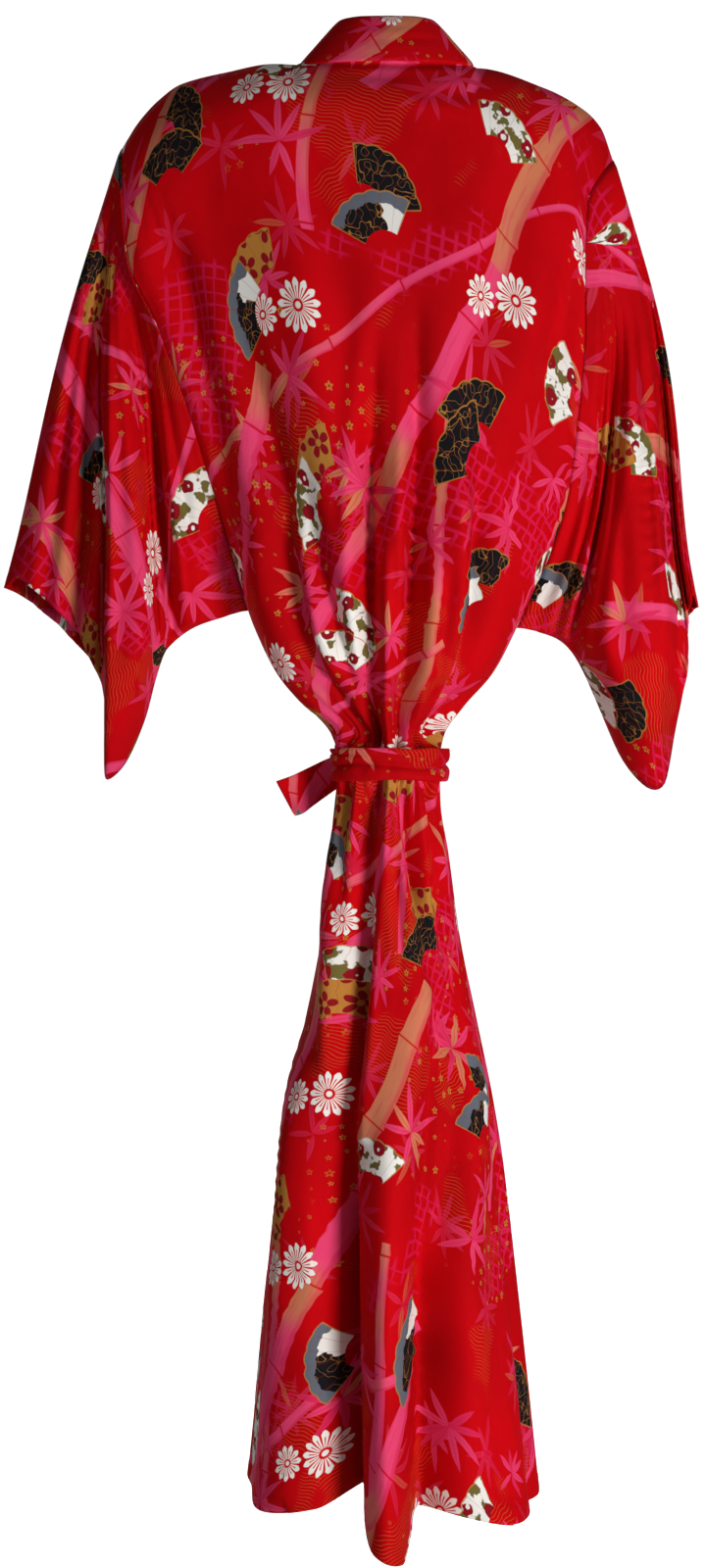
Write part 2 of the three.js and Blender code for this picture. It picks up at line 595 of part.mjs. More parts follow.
// The belt. Its band goes once round the waist, over the gathers.
const BELT_CLEAR = 8; // from the form of the body to the middle of the belt, over the gathers
const BELT_CREASE = 1.4; // how far its long crease is pressed in
const BAND = { rows: 6, columns: 20 };
function makeBeltBand() {
  const shares = steps(-1, 1, BAND.columns);
  const rows = steps(0, 1, BAND.rows).map((over) => {
    const down = WAIST + (over - 0.5) * BELT_WIDTH;
    const out = BELT_CLEAR - BELT_CREASE * bump((over - 0.62) / 0.12) - 1.2 * (2 * over - 1) ** 4;
    const behind = shares.map((share) => bandPoint(-1, share, down, out));
    const before = shares.slice(1, -1).reverse().map((share) => bandPoint(1, share, down, out));
    return [...behind, ...before];
  });
  return wall("belt_band", rows, DOUBLED, new Map(), true);
}
function bandPoint(half, share, down, out) {
  const along = bodyForm(half, share + 0.01, down).sub(bodyForm(half, share - 0.01, down));
  const outward = new THREE.Vector3(-along.y, along.x, 0).multiplyScalar(half).normalize();
  if (Math.abs(share) === 1) outward.set(share, 0, 0);
  return bodyForm(half, share, down).setY(Math.abs(share) === 1 ? 0 : bodyForm(half, share, down).y).addScaledVector(outward, out);
}

// The knot, a plain firm lump in front, on the middle of the band.
const KNOT = { x: 4, z: -637, wide: 25, deep: 13, high: 18 };
const KNOT_FRONT = 43; // where the band's outer face is in front of the waist
function makeKnot() {
  const form = new THREE.SphereGeometry(1, 20, 14);
  const spots = form.getAttribute("position");
  for (let i = 0; i < spots.count; i++) {
    const p = new THREE.Vector3().fromBufferAttribute(spots, i);
    const groove = 1 - 0.12 * bump((p.x - 0.7 * p.z) / 0.22) * smooth(p.y * 2);
    spots.setXYZ(i, p.x * KNOT.wide * groove, p.y * KNOT.deep * groove, p.z * KNOT.high * groove);
  }
  form.deleteAttribute("normal");
  form.deleteAttribute("uv");
  form.translate(KNOT.x, KNOT_FRONT + SEAM + KNOT.deep, KNOT.z);
  const mesh = new THREE.Mesh(form, cloth(RED));
  mesh.name = "belt_knot";
  return mesh;
}

// A loose end of the belt: a strip along a path, each row with its middle, the half width of the strip, how
// it leans and how much its lower corner is drawn back.
const tailColumns = ["x", "y", "z", "half", "aside", "ahead"];
const sideTail = [
  [-21.5, 54, -637, 8, 0, 0],
  [-36, 54, -641, 13, 0, 0.1],
  [-55, 49, -650, 17, 0.05, 0.15],
  [-72, 35, -660, 18, 0.15, 0.1],
  [-84, 22, -667, 18.5, 0.3, 0],
  [-94.5, 9, -670.5, 18.5, 0.55, -0.1],
].map(nameColumns(tailColumns));
const frontTail = [
  [5, 54, -655.7, 8, 1, 0],
  [6, 58, -672, 14, 1, 0],
  [8, 66, -700, 18, 1, 0.1],
  [10, 75, -750, 19, 1, -0.1],
  [9, 86, -810, 19, 1, 0.12],
  [11, 95, -870, 19, 1, -0.08],
  [12, 103, -930, 19, 1, 0.05],
].map(nameColumns(tailColumns));
const TAIL_COLUMNS = 4;
function makeTail(name, path) {
  const rows = path.map((row) => {
    const level = new THREE.Vector3(row.aside, row.ahead, row.aside === 1 ? 0 : -1).normalize();
    return steps(-1, 1, TAIL_COLUMNS).map((over) => {
      const curl = 2.5 * Math.cos(2.2 * over);
      return new THREE.Vector3(row.x, row.y + curl, row.z).addScaledVector(level, over * row.half);
    });
  });
  return wall(name, rows, DOUBLED);
}

const garment = new THREE.Group();
garment.name = "yukata";
garment.add(makeBack());
garment.add(makeFront("front_left", -1), makeFront("front_right", 1));
garment.add(makeOverlap("overlap_left", -1), makeOverlap("overlap_right", 1));
garment.add(makeSleeve("sleeve_left", -1), makeSleeve("sleeve_right", 1));
garment.add(makeCollar());
garment.add(makeBeltBand(), makeKnot());
garment.add(makeTail("belt_tail_side", sideTail), makeTail("belt_tail_front", frontTail));
export default garment;
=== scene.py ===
"""A cotton yukata, tied tightly at the waist with its own belt, that hangs hollow and is seen from behind.

The forms of the cloth are worked out in millimetres, as a maker would lay them out, and made in metres.
-Y is the garment's back, +Y its front, and the wearer's left is at -X.
"""

import logging
import math
from dataclasses import dataclass, field
from enum import Enum

import bpy
import numpy as np
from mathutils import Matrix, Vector


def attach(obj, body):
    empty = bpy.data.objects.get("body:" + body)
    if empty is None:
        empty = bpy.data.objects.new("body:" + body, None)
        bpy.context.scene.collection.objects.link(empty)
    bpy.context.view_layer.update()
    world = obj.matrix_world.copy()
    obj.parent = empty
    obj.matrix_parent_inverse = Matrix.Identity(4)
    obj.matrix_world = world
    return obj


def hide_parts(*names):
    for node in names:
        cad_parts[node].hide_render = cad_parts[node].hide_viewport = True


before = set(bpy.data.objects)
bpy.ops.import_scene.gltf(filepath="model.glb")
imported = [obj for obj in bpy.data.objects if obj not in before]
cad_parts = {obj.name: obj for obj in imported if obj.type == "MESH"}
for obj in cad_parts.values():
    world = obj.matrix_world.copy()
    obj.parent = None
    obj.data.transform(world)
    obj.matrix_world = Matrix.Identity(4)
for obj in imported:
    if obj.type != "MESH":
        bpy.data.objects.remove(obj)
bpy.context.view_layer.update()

LOG = logging.getLogger("yukata")
MM = 0.001

ARMHOLE = 454.0
LENGTH = 1320.0
WAIST = 626.0
NECK_HALF = 83.0
NECK_BACK = 37.0
SHOULDER_CREST = 16.0
COLLAR_WIDTH = 55.0
COLLAR_END = 850.0
COLLAR_SHARE = 0.27
COLLAR_STANDS = 150.0
COLLAR_SEAM = 1.5
SLEEVE_WIDTH = 425.0
SLEEVE_DEPTH = 490.0
SLEEVE_CORNER = 85.0
SLEEVE_CAP = 90.0
SLEEVE_CLOSING = 130.0
SLEEVE_MOST_SWELL = 82.0
CUFF = 235.0
TUCK = 5.0
SKIRT_TUCK = 11.0
OVERLAP_FROM = 285.0
BELT_WIDTH = 36.0
BELT_CLEAR = 8.0
SEAM = 0.3
SEAM_SHARE = 0.0011
CLOTH = 0.8
DOUBLED = 2.0

Grid = np.ndarray


class Side(Enum):
    """The wearer's left and right."""

    LEFT = -1
    RIGHT = 1

    def node(self, kind: str) -> str:
        """The node's name of this side's piece, for a kind such as sleeve."""
        return f"{kind}_{self.name.lower()}"


class Half(Enum):
    """The garment's back and its front."""

    BACK = -1
    FRONT = 1


def smooth(x: Grid | float) -> Grid:
    """Rises softly from 0 to 1 while x goes from 0 to 1."""
    t = np.clip(x, 0.0, 1.0)
    return t * t * (3 - 2 * t)


def mix(a: Grid | float, b: Grid | float, t: Grid | float) -> Grid:
    """Goes in a straight line from a at t 0 to b at t 1."""
    return a + (b - a) * t


def bump(x: Grid | float) -> Grid:
    """A soft hill, 1 high at x 0 and gone at about 2."""
    return np.exp(-np.square(x))


def rounded(x: Grid | float) -> Grid:
    """A quarter circle, from 0 up to 1."""
    return np.sqrt(1 - np.square(1 - np.clip(x, 0.0, 1.0)))


def soft_noise(x: Grid, y: Grid, seed: float) -> Grid:
    """Smooth uneven swells that never repeat.

    Args:
        x: Place along the first direction, one swell to a unit.
        y: Place along the second direction.
        seed: Picks another set of swells.

    Returns:
        Heights from -1 to 1.
    """
    left, low = np.floor(x), np.floor(y)
    s, t = smooth(x - left), smooth(y - low)

    def corner(right: int, high: int) -> Grid:
        """The fixed height of one corner of the square that a place lies in."""
        spread = np.sin((left + right) * 127.1 + (low + high) * 311.7 + seed * 74.7) * 43758.5453
        return 2 * (spread - np.floor(spread)) - 1

    return mix(mix(corner(0, 0), corner(1, 0), s), mix(corner(0, 1), corner(1, 1), s), t)


class Table:
    """Named columns that run between their rows on smooth curves, and never overshoot them."""

    def __init__(self, names: list[str], rows: list[list[float]]) -> None:
        """Takes the columns' names, the first of them the one that is looked up, and the rows."""
        numbers = np.array(rows, float)
        self.keys = numbers[:, 0].copy()
        self.columns = {name: numbers[:, place] for place, name in enumerate(names[1:], start=1)}
        self.slopes = {name: self._slopes(values) for name, values in self.columns.items()}

    def _slopes(self, values: Grid) -> Grid:
        """The slope of one column at each of its rows."""
        steps = np.diff(values) / np.diff(self.keys)
        before = np.concatenate([steps[:1], steps])
        after = np.concatenate([steps, steps[-1:]])
        total = np.where(before + after == 0, 1, before + after)
        return np.where(before * after <= 0, 0, 2 * before * after / total)

    def at(self, name: str, x: Grid | float) -> Grid:
        """One column's values at x."""
        x = np.clip(np.asarray(x, float), self.keys[0], self.keys[-1])
        i = np.clip(np.searchsorted(self.keys, x, side="left") - 1, 0, len(self.keys) - 2)
        span = self.keys[i + 1] - self.keys[i]
        t = (x - self.keys[i]) / span
        a, b = self.columns[name][i], self.columns[name][i + 1]
        da, db = self.slopes[name][i] * span, self.slopes[name][i + 1] * span
        return a + t * (da + t * (3 * (b - a) - 2 * da - db + t * (2 * (a - b) + da + db)))


BODY_ROW = Table(
    ["down", "leftX", "leftZ", "rightX", "rightZ", "back", "front", "edge", "turn"],
    [
        [0, -247, -63, 211, -74, 0, 0, 0, 56],
        [12, -246.5, -75, 203, -84, 26, 24, 13, 56],
        [51, -245, -114, 186, -117, 66, 58, 28, 58],
        [114, -238, -177, 183, -180, 86, 76, 36, 58],
        [168, -216, -225, 183, -234, 96, 86, 38, 59],
        [249, -188, -298, 177, -312, 104, 94, 36, 62],
        [323, -166, -369, 168, -386, 107, 97, 30, 66],
        [380, -149, -424, 152, -441, 105, 95, 20, 74],
        [428, -136, -470, 132, -487, 100, 90, 7, 86],
        [454, -129, -495, 121, -511, 96, 86, 0, 90],
        [504, -106, -543, 99, -553, 84, 74, 0, 90],
        [550, -77, -580, 72, -584, 64, 56, 0, 90],
        [590, -49, -612, 53, -612, 45, 40, 0, 90],
        [626, -43, -637, 49, -637, 37, 34, 0, 90],
        [665, -45, -676, 50, -676, 39, 36, 0, 90],
        [710, -51, -720, 57, -720, 47, 43, 0, 90],
        [790, -60, -799, 68, -799, 60, 54, 0, 90],
        [870, -76, -878, 84, -878, 73, 67, 0, 90],
        [945, -91, -951, 99, -951, 83, 77, 0, 90],
        [1010, -100, -1014, 109, -1014, 92, 86, 0, 90],
        [1135, -112, -1137, 123, -1137, 105, 98, 0, 90],
        [1240, -121, -1240, 134, -1240, 115, 107, 0, 90],
        [1320, -130, -1319, 142, -1319, 121, 113, 0, 90],
    ],
)
SHOULDER_SEAM = Table(
    ["x", "z"],
    [
        [-247, -63],
        [-232, -39],
        [-213, -18],
        [-192, -3],
        [-150, 8],
        [-105, 16],
        [-83, 15],
        [0, 12],
        [83, 12],
        [148, -7],
        [184, -27],
        [200, -44],
        [211, -74],
    ],
)
HEM_DROP = Table(
    ["share", "lift"],
    [
        [-1, 16],
        [-0.62, -4],
        [-0.36, 4],
        [-0.22, 20],
        [-0.08, -30],
        [0.03, -40],
        [0.14, 4],
        [0.55, -12],
        [1, 4],
    ],
)
FRONT_EDGE = Table(
    ["down", "outer", "inner"],
    [
        [0, -0.243, -0.383],
        [60, -0.235, -0.33],
        [130, -0.19, -0.24],
        [210, -0.09, -0.1],
        [290, 0.04, 0.04],
        [380, 0.2, 0.2],
        [480, 0.34, 0.34],
        [580, 0.44, 0.44],
        [700, 0.5, 0.5],
        [850, 0.54, 0.54],
        [1320, 0.54, 0.54],
    ],
)
COLLAR_ROUND = Table(
    ["round", "baseX", "baseY", "baseZ", "freeX", "freeY", "freeZ"],
    [
        [0, 0, -39, 14.6, 0, -18, 57.5],
        [0.35, 33, -35.5, 14.6, 22, -16, 57.5],
        [0.65, 62, -24, 14.8, 39, -7, 57],
        [0.88, 77.5, -9, 15.4, 46, 4, 55.5],
        [1, 80.6, 0.5, 16.4, 47, 13, 53],
    ],
)
RAY_COLUMNS = ["ray", "near", "far", "swell"]
SLEEVE_RAYS = {
    Side.LEFT: Table(
        RAY_COLUMNS,
        [
            [0, 17.5, 14.8, 0],
            [8, 15.5, 12.2, 0.055],
            [15, 13.5, 9.5, 0.062],
            [21, 11, 6.6, 0.045],
            [26, 9, 4.2, 0.012],
            [31, 7, 2.2, 0.03],
            [36, 6, 1.5, 0.1],
            [41, 5, 1.3, 0.16],
            [47, 4, 0.5, 0.185],
            [53, 2.5, -1.9, 0.175],
            [58, 1, -3.9, 0.12],
            [63, -0.5, -5.1, 0.05],
            [68, -1.5, -6.2, 0.014],
            [73, -2.2, -8, 0.03],
            [78, -2.6, -10, 0.09],
            [84, -2.7, -13, 0.075],
            [90, -2.7, -15.4, 0.03],
        ],
    ),
    Side.RIGHT: Table(
        RAY_COLUMNS,
        [
            [0, 16.5, 10.6, 0],
            [7, 15.8, 9.9, 0.03],
            [13, 14.8, 9.3, 0.026],
            [19, 13.8, 8.8, 0.024],
            [25, 12.8, 8.4, 0.045],
            [31, 11.8, 7.5, 0.078],
            [38, 10.3, 5.9, 0.15],
            [44, 9, 4.3, 0.175],
            [50, 7, 1.8, 0.18],
            [56, 5, -1.1, 0.17],
            [62, 3, -3.2, 0.13],
            [67, 1.5, -4.6, 0.08],
            [71, 0, -5.6, 0.045],
            [76, -2, -6.9, 0.04],
            [81, -4.5, -8.4, 0.065],
            [86, -7, -10, 0.05],
            [90, -9, -11.6, 0.03],
        ],
    ),
}


@dataclass(frozen=True)
class Fold:
    """A large fold that runs down a panel, with its place across as a share from -1 to 1.

    A depth below zero is a ridge. wide is half its width, as a share.
    """

    start: float
    end: float
    top: float
    middle: float
    bottom: float
    wide: float
    depth_top: float
    depth_bottom: float

    def push(self, share: Grid, down: Grid) -> Grid:
        """How far it pushes the cloth out at each place, in millimetres."""
        run = (down - self.start) / (self.end - self.start)
        inside = (run > 0) & (run < 1)
        centre = np.where(
            run < 0.5,
            mix(self.top, self.middle, np.clip(2 * run, 0, 1)),
            mix(self.middle, self.bottom, 2 * run - 1),
        )
        swell = smooth(run * 5) * mix(self.depth_top, self.depth_bottom, run)
        return np.where(inside, -swell * bump((share - centre) / self.wide), 0.0)


@dataclass(frozen=True)
class Crease:
    """A crease on a soft curve from one place over a second to a third, seen from behind, in millimetres.

    It is a trough with a lower ridge beside it. open_start and open_end say that it doesn't fade there.
    """

    start: tuple[float, float]
    through: tuple[float, float]
    end: tuple[float, float]
    wide: float
    depth: float
    open_start: bool = False
    open_end: bool = False

    def push(self, x: Grid, z: Grid) -> Grid:
        """How far it pushes the cloth out at each place, in millimetres."""
        a, b, c = (np.array(p, float) for p in (self.start, self.through, self.end))
        control = 2 * b - (a + c) / 2
        best = np.full(x.shape, 1e9)
        signed = np.zeros(x.shape)
        where = np.zeros(x.shape)
        for t in np.linspace(0, 1, 40):
            spot = (1 - t) ** 2 * a + 2 * t * (1 - t) * control + t * t * c
            along = 2 * (1 - t) * (control - a) + 2 * t * (c - control)
            along /= np.hypot(*along)
            across = (x - spot[0]) * along[1] - (z - spot[1]) * along[0]
            far = np.hypot(x - spot[0], z - spot[1])
            nearer = far < best
            best = np.where(nearer, far, best)
            signed = np.where(nearer, np.sign(across) * far, signed)
            where = np.where(nearer, t, where)
        start = 1.0 if self.open_start else smooth(where * 3)
        end = 1.0 if self.open_end else smooth((1 - where) * 3)
        uneven = 1 + 0.25 * np.sin(9 * where + self.wide)
        trough = bump(signed / self.wide)
        ridge = 0.45 * bump((signed - 1.9 * self.wide) / (1.1 * self.wide))
        return self.depth * start * end * uneven * (ridge - trough)


@dataclass(frozen=True)
class Gathers:
    """The gathers that the belt pulls in, as ripples across a panel, in millimetres."""

    count: float
    height: float
    fine_count: float
    fine_height: float
    above: float
    below: float

    def phase(self, share: Grid) -> Grid:
        """The place within a ripple, as an angle."""
        return np.pi * self.count * (share + 0.02 * np.sin(5 * share))

    def near(self, down: Grid) -> Grid:
        """How near the belt is, from 0 to 1."""
        away = np.where(down < WAIST, (WAIST - down) / self.above, (down - WAIST) / self.below)
        return bump(1.3 * away)

    def push(self, share: Grid, down: Grid) -> Grid:
        """How far they push the cloth out at each place."""
        fine = np.cos(np.pi * self.fine_count * share + 1.7 * np.sin(2.3 * share + down / 90))
        return self.near(down) * (self.height * np.cos(self.phase(share)) + self.fine_height * fine)


BACK_FOLDS = [
    Fold(250, 640, -0.1, -0.14, -0.2, 0.075, 6, 16),
    Fold(330, 640, 0.06, 0.1, 0.13, 0.065, 4, 12),
    Fold(380, 640, -0.36, -0.42, -0.44, 0.09, 5, 9),
    Fold(420, 640, 0.46, 0.5, 0.56, 0.09, 6, 9),
    Fold(60, 420, -0.62, -0.55, -0.5, 0.12, 5, 5),
    Fold(40, 420, 0.6, 0.55, 0.56, 0.12, 5, 5),
    Fold(100, 520, 0.28, 0.3, 0.32, 0.09, -3, -7),
    Fold(100, 520, -0.28, -0.26, -0.3, 0.09, -3, -7),
    Fold(640, 1400, -0.16, -0.35, -0.22, 0.105, 8, 48),
    Fold(640, 980, -0.02, -0.16, -0.2, 0.06, -5, -8),
    Fold(640, 900, 0.16, 0.28, 0.5, 0.08, 8, 8),
    Fold(820, 1400, 0.62, 0.24, 0.12, 0.1, 10, 34),
    Fold(860, 1400, 0.5, 0.56, 0.52, 0.16, -4, -12),
    Fold(860, 1400, -0.62, -0.66, -0.66, 0.15, -4, -14),
    Fold(900, 1400, -0.06, -0.04, -0.04, 0.11, -6, -16),
    Fold(900, 1400, 0.86, 0.84, 0.8, 0.07, 3, 12),
]
FRONT_FOLDS = [
    Fold(300, 640, -0.5, -0.46, -0.4, 0.1, 5, 9),
    Fold(300, 640, 0.5, 0.44, 0.36, 0.1, 5, 9),
    Fold(420, 640, 0.05, 0.03, 0, 0.08, 3, 7),
    Fold(640, 1400, -0.45, -0.5, -0.42, 0.1, 6, 38),
    Fold(640, 1400, 0.4, 0.46, 0.5, 0.1, 6, 36),
    Fold(760, 1400, 0.02, -0.02, 0.04, 0.1, 4, 28),
    Fold(820, 1400, -0.2, -0.22, -0.2, 0.13, -4, -13),
    Fold(820, 1400, 0.24, 0.22, 0.26, 0.13, -4, -12),
]
BACK_CREASES = [
    Crease((-8, -200), (-17, -440), (-9, -617), 9, 24, open_end=True),
    Crease((26, -190), (27, -420), (16, -618), 9, 25, open_end=True),
    Crease((6, -400), (6, -520), (4, -618), 5, 6, open_end=True),
    Crease((80, -300), (84, -500), (42, -618), 12, 21, open_end=True),
    Crease((-100, -380), (-80, -510), (-36, -612), 12, 18, open_end=True),
    Crease((-84, -340), (-50, -510), (-22, -614), 10, 19, open_end=True),
    Crease((56, -440), (48, -540), (28, -616), 7, 12, open_end=True),
    Crease((-222, -105), (-180, -234), (-121, -405), 18, 11),
    Crease((-85, -30), (-50, -171), (-26, -369), 19, 6),
    Crease((150, -40), (98, -207), (52, -387), 19, 6),
    Crease((180, -125), (150, -297), (105, -450), 17, 11),
    Crease((-150, -200), (-114, -330), (-80, -460), 15, 11),
    Crease((-190, -180), (-168, -300), (-120, -460), 12, 8),
    Crease((6, -150), (12, -280), (8, -420), 14, 6),
    Crease((-58, 2), (8, -6), (70, -1), 5, 2.4),
    Crease((10, -14), (50, -22), (96, -20), 7, 3.4),
    Crease((-120, -20), (-60, -60), (-20, -150), 12, 2.5),
    Crease((-9, -657), (-30, -800), (-40, -1010), 9, 24, open_start=True),
    Crease((-38, -930), (-42, -1130), (-37, -1330), 11, 28, open_end=True),
    Crease((18, -657), (24, -715), (46, -820), 8, 17, open_start=True),
    Crease((5, -657), (8, -720), (14, -860), 5, 9, open_start=True),
    Crease((-31, -657), (-39, -711), (-46, -840), 6, 12, open_start=True),
    Crease((37, -657), (46, -720), (60, -880), 7, 11, open_start=True),
    Crease((70, -820), (38, -999), (28, -1345), 14, 20, open_end=True),
    Crease((-70, -840), (-84, -1017), (-88, -1300), 16, -9, open_end=True),
    Crease((88, -930), (98, -1107), (104, -1300), 16, 10, open_end=True),
    Crease((2, -900), (-4, -1100), (-2, -1345), 14, -7, open_end=True),
    Crease((-110, -1080), (-70, -1120), (-50, -1190), 12, 2.5),
    Crease((40, -1000), (70, -1080), (86, -1180), 12, 2.5),
]
FRONT_CREASES = [
    Crease((-60, -440), (-44, -540), (-22, -617), 6, 7, open_end=True),
    Crease((10, -450), (8, -540), (5, -618), 5, 6, open_end=True),
    Crease((66, -440), (50, -545), (28, -617), 6, 7, open_end=True),
    Crease((-210, -120), (-170, -250), (-110, -430), 15, 5),
    Crease((180, -130), (150, -290), (98, -440), 15, 5),
    Crease((-150, -60), (-120, -220), (-80, -380), 16, 4),
    Crease((150, -60), (118, -220), (82, -380), 16, 4),
    Crease((-28, -657), (-38, -740), (-54, -900), 6, 7, open_start=True),
    Crease((30, -657), (40, -740), (52, -900), 6, 7, open_start=True),
    Crease((0, -657), (2, -760), (-4, -920), 6, 5, open_start=True),
    Crease((-74, -860), (-86, -1040), (-92, -1330), 13, 6, open_end=True),
    Crease((66, -860), (80, -1040), (90, -1330), 13, 6, open_end=True),
]
SLEEVE_CREASES = {
    Side.LEFT: [
        Crease((-244, -90), (-258, -250), (-264, -470), 6, 4),
        Crease((-249, -110), (-292, -300), (-322, -480), 8, 3.5),
        Crease((-246, -130), (-276, -330), (-296, -520), 6, 3),
        Crease((-236, -150), (-222, -330), (-206, -560), 7, 5),
        Crease((-226, -190), (-196, -350), (-160, -500), 6, 4),
        Crease((-243, -300), (-246, -450), (-242, -600), 7, 3),
    ],
    Side.RIGHT: [
        Crease((214, -110), (232, -300), (244, -580), 8, 5),
        Crease((220, -120), (256, -330), (272, -620), 9, 5),
        Crease((204, -160), (196, -330), (180, -520), 6, 4),
        Crease((212, -200), (214, -380), (208, -600), 7, 4),
        Crease((222, -100), (246, -200), (262, -360), 7, 3),
    ],
}
BACK_GATHERS = Gathers(count=8, height=3.4, fine_count=19, fine_height=1.2, above=115, below=105)
FRONT_GATHERS = Gathers(count=10, height=2.4, fine_count=21, fine_height=0.9, above=95, below=90)
RELIEF = {
    Half.BACK: (BACK_FOLDS, BACK_GATHERS, BACK_CREASES),
    Half.FRONT: (FRONT_FOLDS, FRONT_GATHERS, FRONT_CREASES),
}


def stack(x: Grid, y: Grid, z: Grid) -> Grid:
    """Places as one array whose last axis is x, y and z."""
    return np.stack(np.broadcast_arrays(x, y, z), axis=-1).astype(float)


def body_form(half: Half, share: Grid, down: Grid) -> Grid:
    """The body's smooth form.

    Args:
        half: Back or front.
        share: Place across, from -1 at the left edge to 1 at the right one.
        down: How far down the cloth, in millimetres.

    Returns:
        Places in millimetres.
    """
    share, down = np.broadcast_arrays(np.asarray(share, float), np.asarray(down, float))
    row = {name: BODY_ROW.at(name, down) for name in BODY_ROW.columns}
    turn = np.radians(row["turn"])
    angle = share * turn
    rise = (np.cos(angle) - np.cos(turn)) / (1 - np.cos(turn))
    depth = (row["back"] if half is Half.BACK else row["front"]) - row["edge"]
    reach = (row["rightX"] - row["leftX"]) / 2
    x = (row["leftX"] + row["rightX"]) / 2 + reach * np.sin(angle) / np.sin(turn)
    settled = rounded(down / 75)
    neck = NECK_BACK * np.sqrt(np.clip(1 - (x / NECK_HALF) ** 2, 0, None)) * (1 - settled)
    y = half.value * (row["edge"] + SEAM / 2 + depth * rise + (neck if half is Half.BACK else 0))
    level = mix(row["leftZ"], row["rightZ"], (share + 1) / 2)
    top = {name: float(BODY_ROW.at(name, 0.0)) for name in BODY_ROW.columns}
    top_turn = math.radians(top["turn"])
    spread = (top["rightX"] - top["leftX"]) * np.sin(share * top_turn) / math.sin(top_turn)
    top_x = (top["leftX"] + top["rightX"] + spread) / 2
    crown = SHOULDER_SEAM.at("z", top_x) - mix(top["leftZ"], top["rightZ"], (share + 1) / 2)
    hanging = smooth((down - 980) / (LENGTH - 980))
    z = level + crown * (1 - smooth(down / 430)) + HEM_DROP.at("lift", share) * hanging
    if half is Half.FRONT:
        z = z + SHOULDER_CREST * bump((x + 135) / 52) * smooth(down / 26) * bump((down - 26) / 60)
    return stack(x, y, z)


def body_point(half: Half, share: Grid, down: Grid, inward: Grid | float = 0.0) -> Grid:
    """The body's cloth with its folds, gathers and creases.

    Args:
        half: Back or front.
        share: Place across, from -1 to 1.
        down: How far down the cloth.
        inward: How far the cloth lies behind the outer form.

    Returns:
        Places in millimetres.
    """
    share, down = np.broadcast_arrays(np.asarray(share, float), np.asarray(down, float))
    point = body_form(half, share, down)
    along = body_form(half, share + 0.01, down) - body_form(half, share - 0.01, down)
    outward = stack(-along[..., 1], along[..., 0], 0 * share) * half.value
    outward /= np.maximum(np.linalg.norm(outward, axis=-1, keepdims=True), 1e-9)
    folds, gathers, creases = RELIEF[half]
    out = gathers.push(share, down)
    for fold in folds:
        out = out + fold.push(share, down)
    x, z = point[..., 0], point[..., 2]
    away = 1 - 0.8 * bump((down - WAIST) / 26)
    for crease in creases:
        out = out + crease.push(x, z) * away
    loose = smooth(down / 60) * away
    relief = 1.9 * soft_noise(x / 62, z / 150, 3 + half.value) + 0.9 * soft_noise(x / 24, z / 55, 7)
    out = out + loose * (relief + 0.32 * soft_noise(x / 11, z / 24, 9))
    out = out * smooth((1 - np.abs(share)) * 9)
    return point + outward * (out - inward)[..., None]


def front_point(side: Side, share: Grid, down: Grid, inward: float = 0.0) -> Grid:
    """The cloth of one front, whose share runs from -1 at its side seam.

    The right front lies further in wherever the left one covers it.
    """
    share, down = np.broadcast_arrays(np.asarray(share, float), np.asarray(down, float))
    covered = 0.0
    if side is Side.RIGHT:
        tucked = mix(TUCK, SKIRT_TUCK, smooth((down - 690) / 200)) * smooth((down - 60) / 140)
        covered = tucked * smooth((share + 0.985) / 0.2)
    return body_point(Half.FRONT, -side.value * share, down, covered + inward)


def edge_share(side: Side, down: Grid) -> Grid:
    """How far across a front its edge runs at each distance down."""
    return FRONT_EDGE.at("outer" if side is Side.LEFT else "inner", down)


def normals_of(points: Grid, loop: bool = False) -> Grid:
    """The directions in which a grid of places faces, to the side of (next row) x (next column)."""
    along = np.gradient(points, axis=0)
    if loop:
        across = np.roll(points, -1, axis=1) - np.roll(points, 1, axis=1)
    else:
        across = np.gradient(points, axis=1)
    facing = np.cross(along, across)
    return facing / np.maximum(np.linalg.norm(facing, axis=-1, keepdims=True), 1e-9)


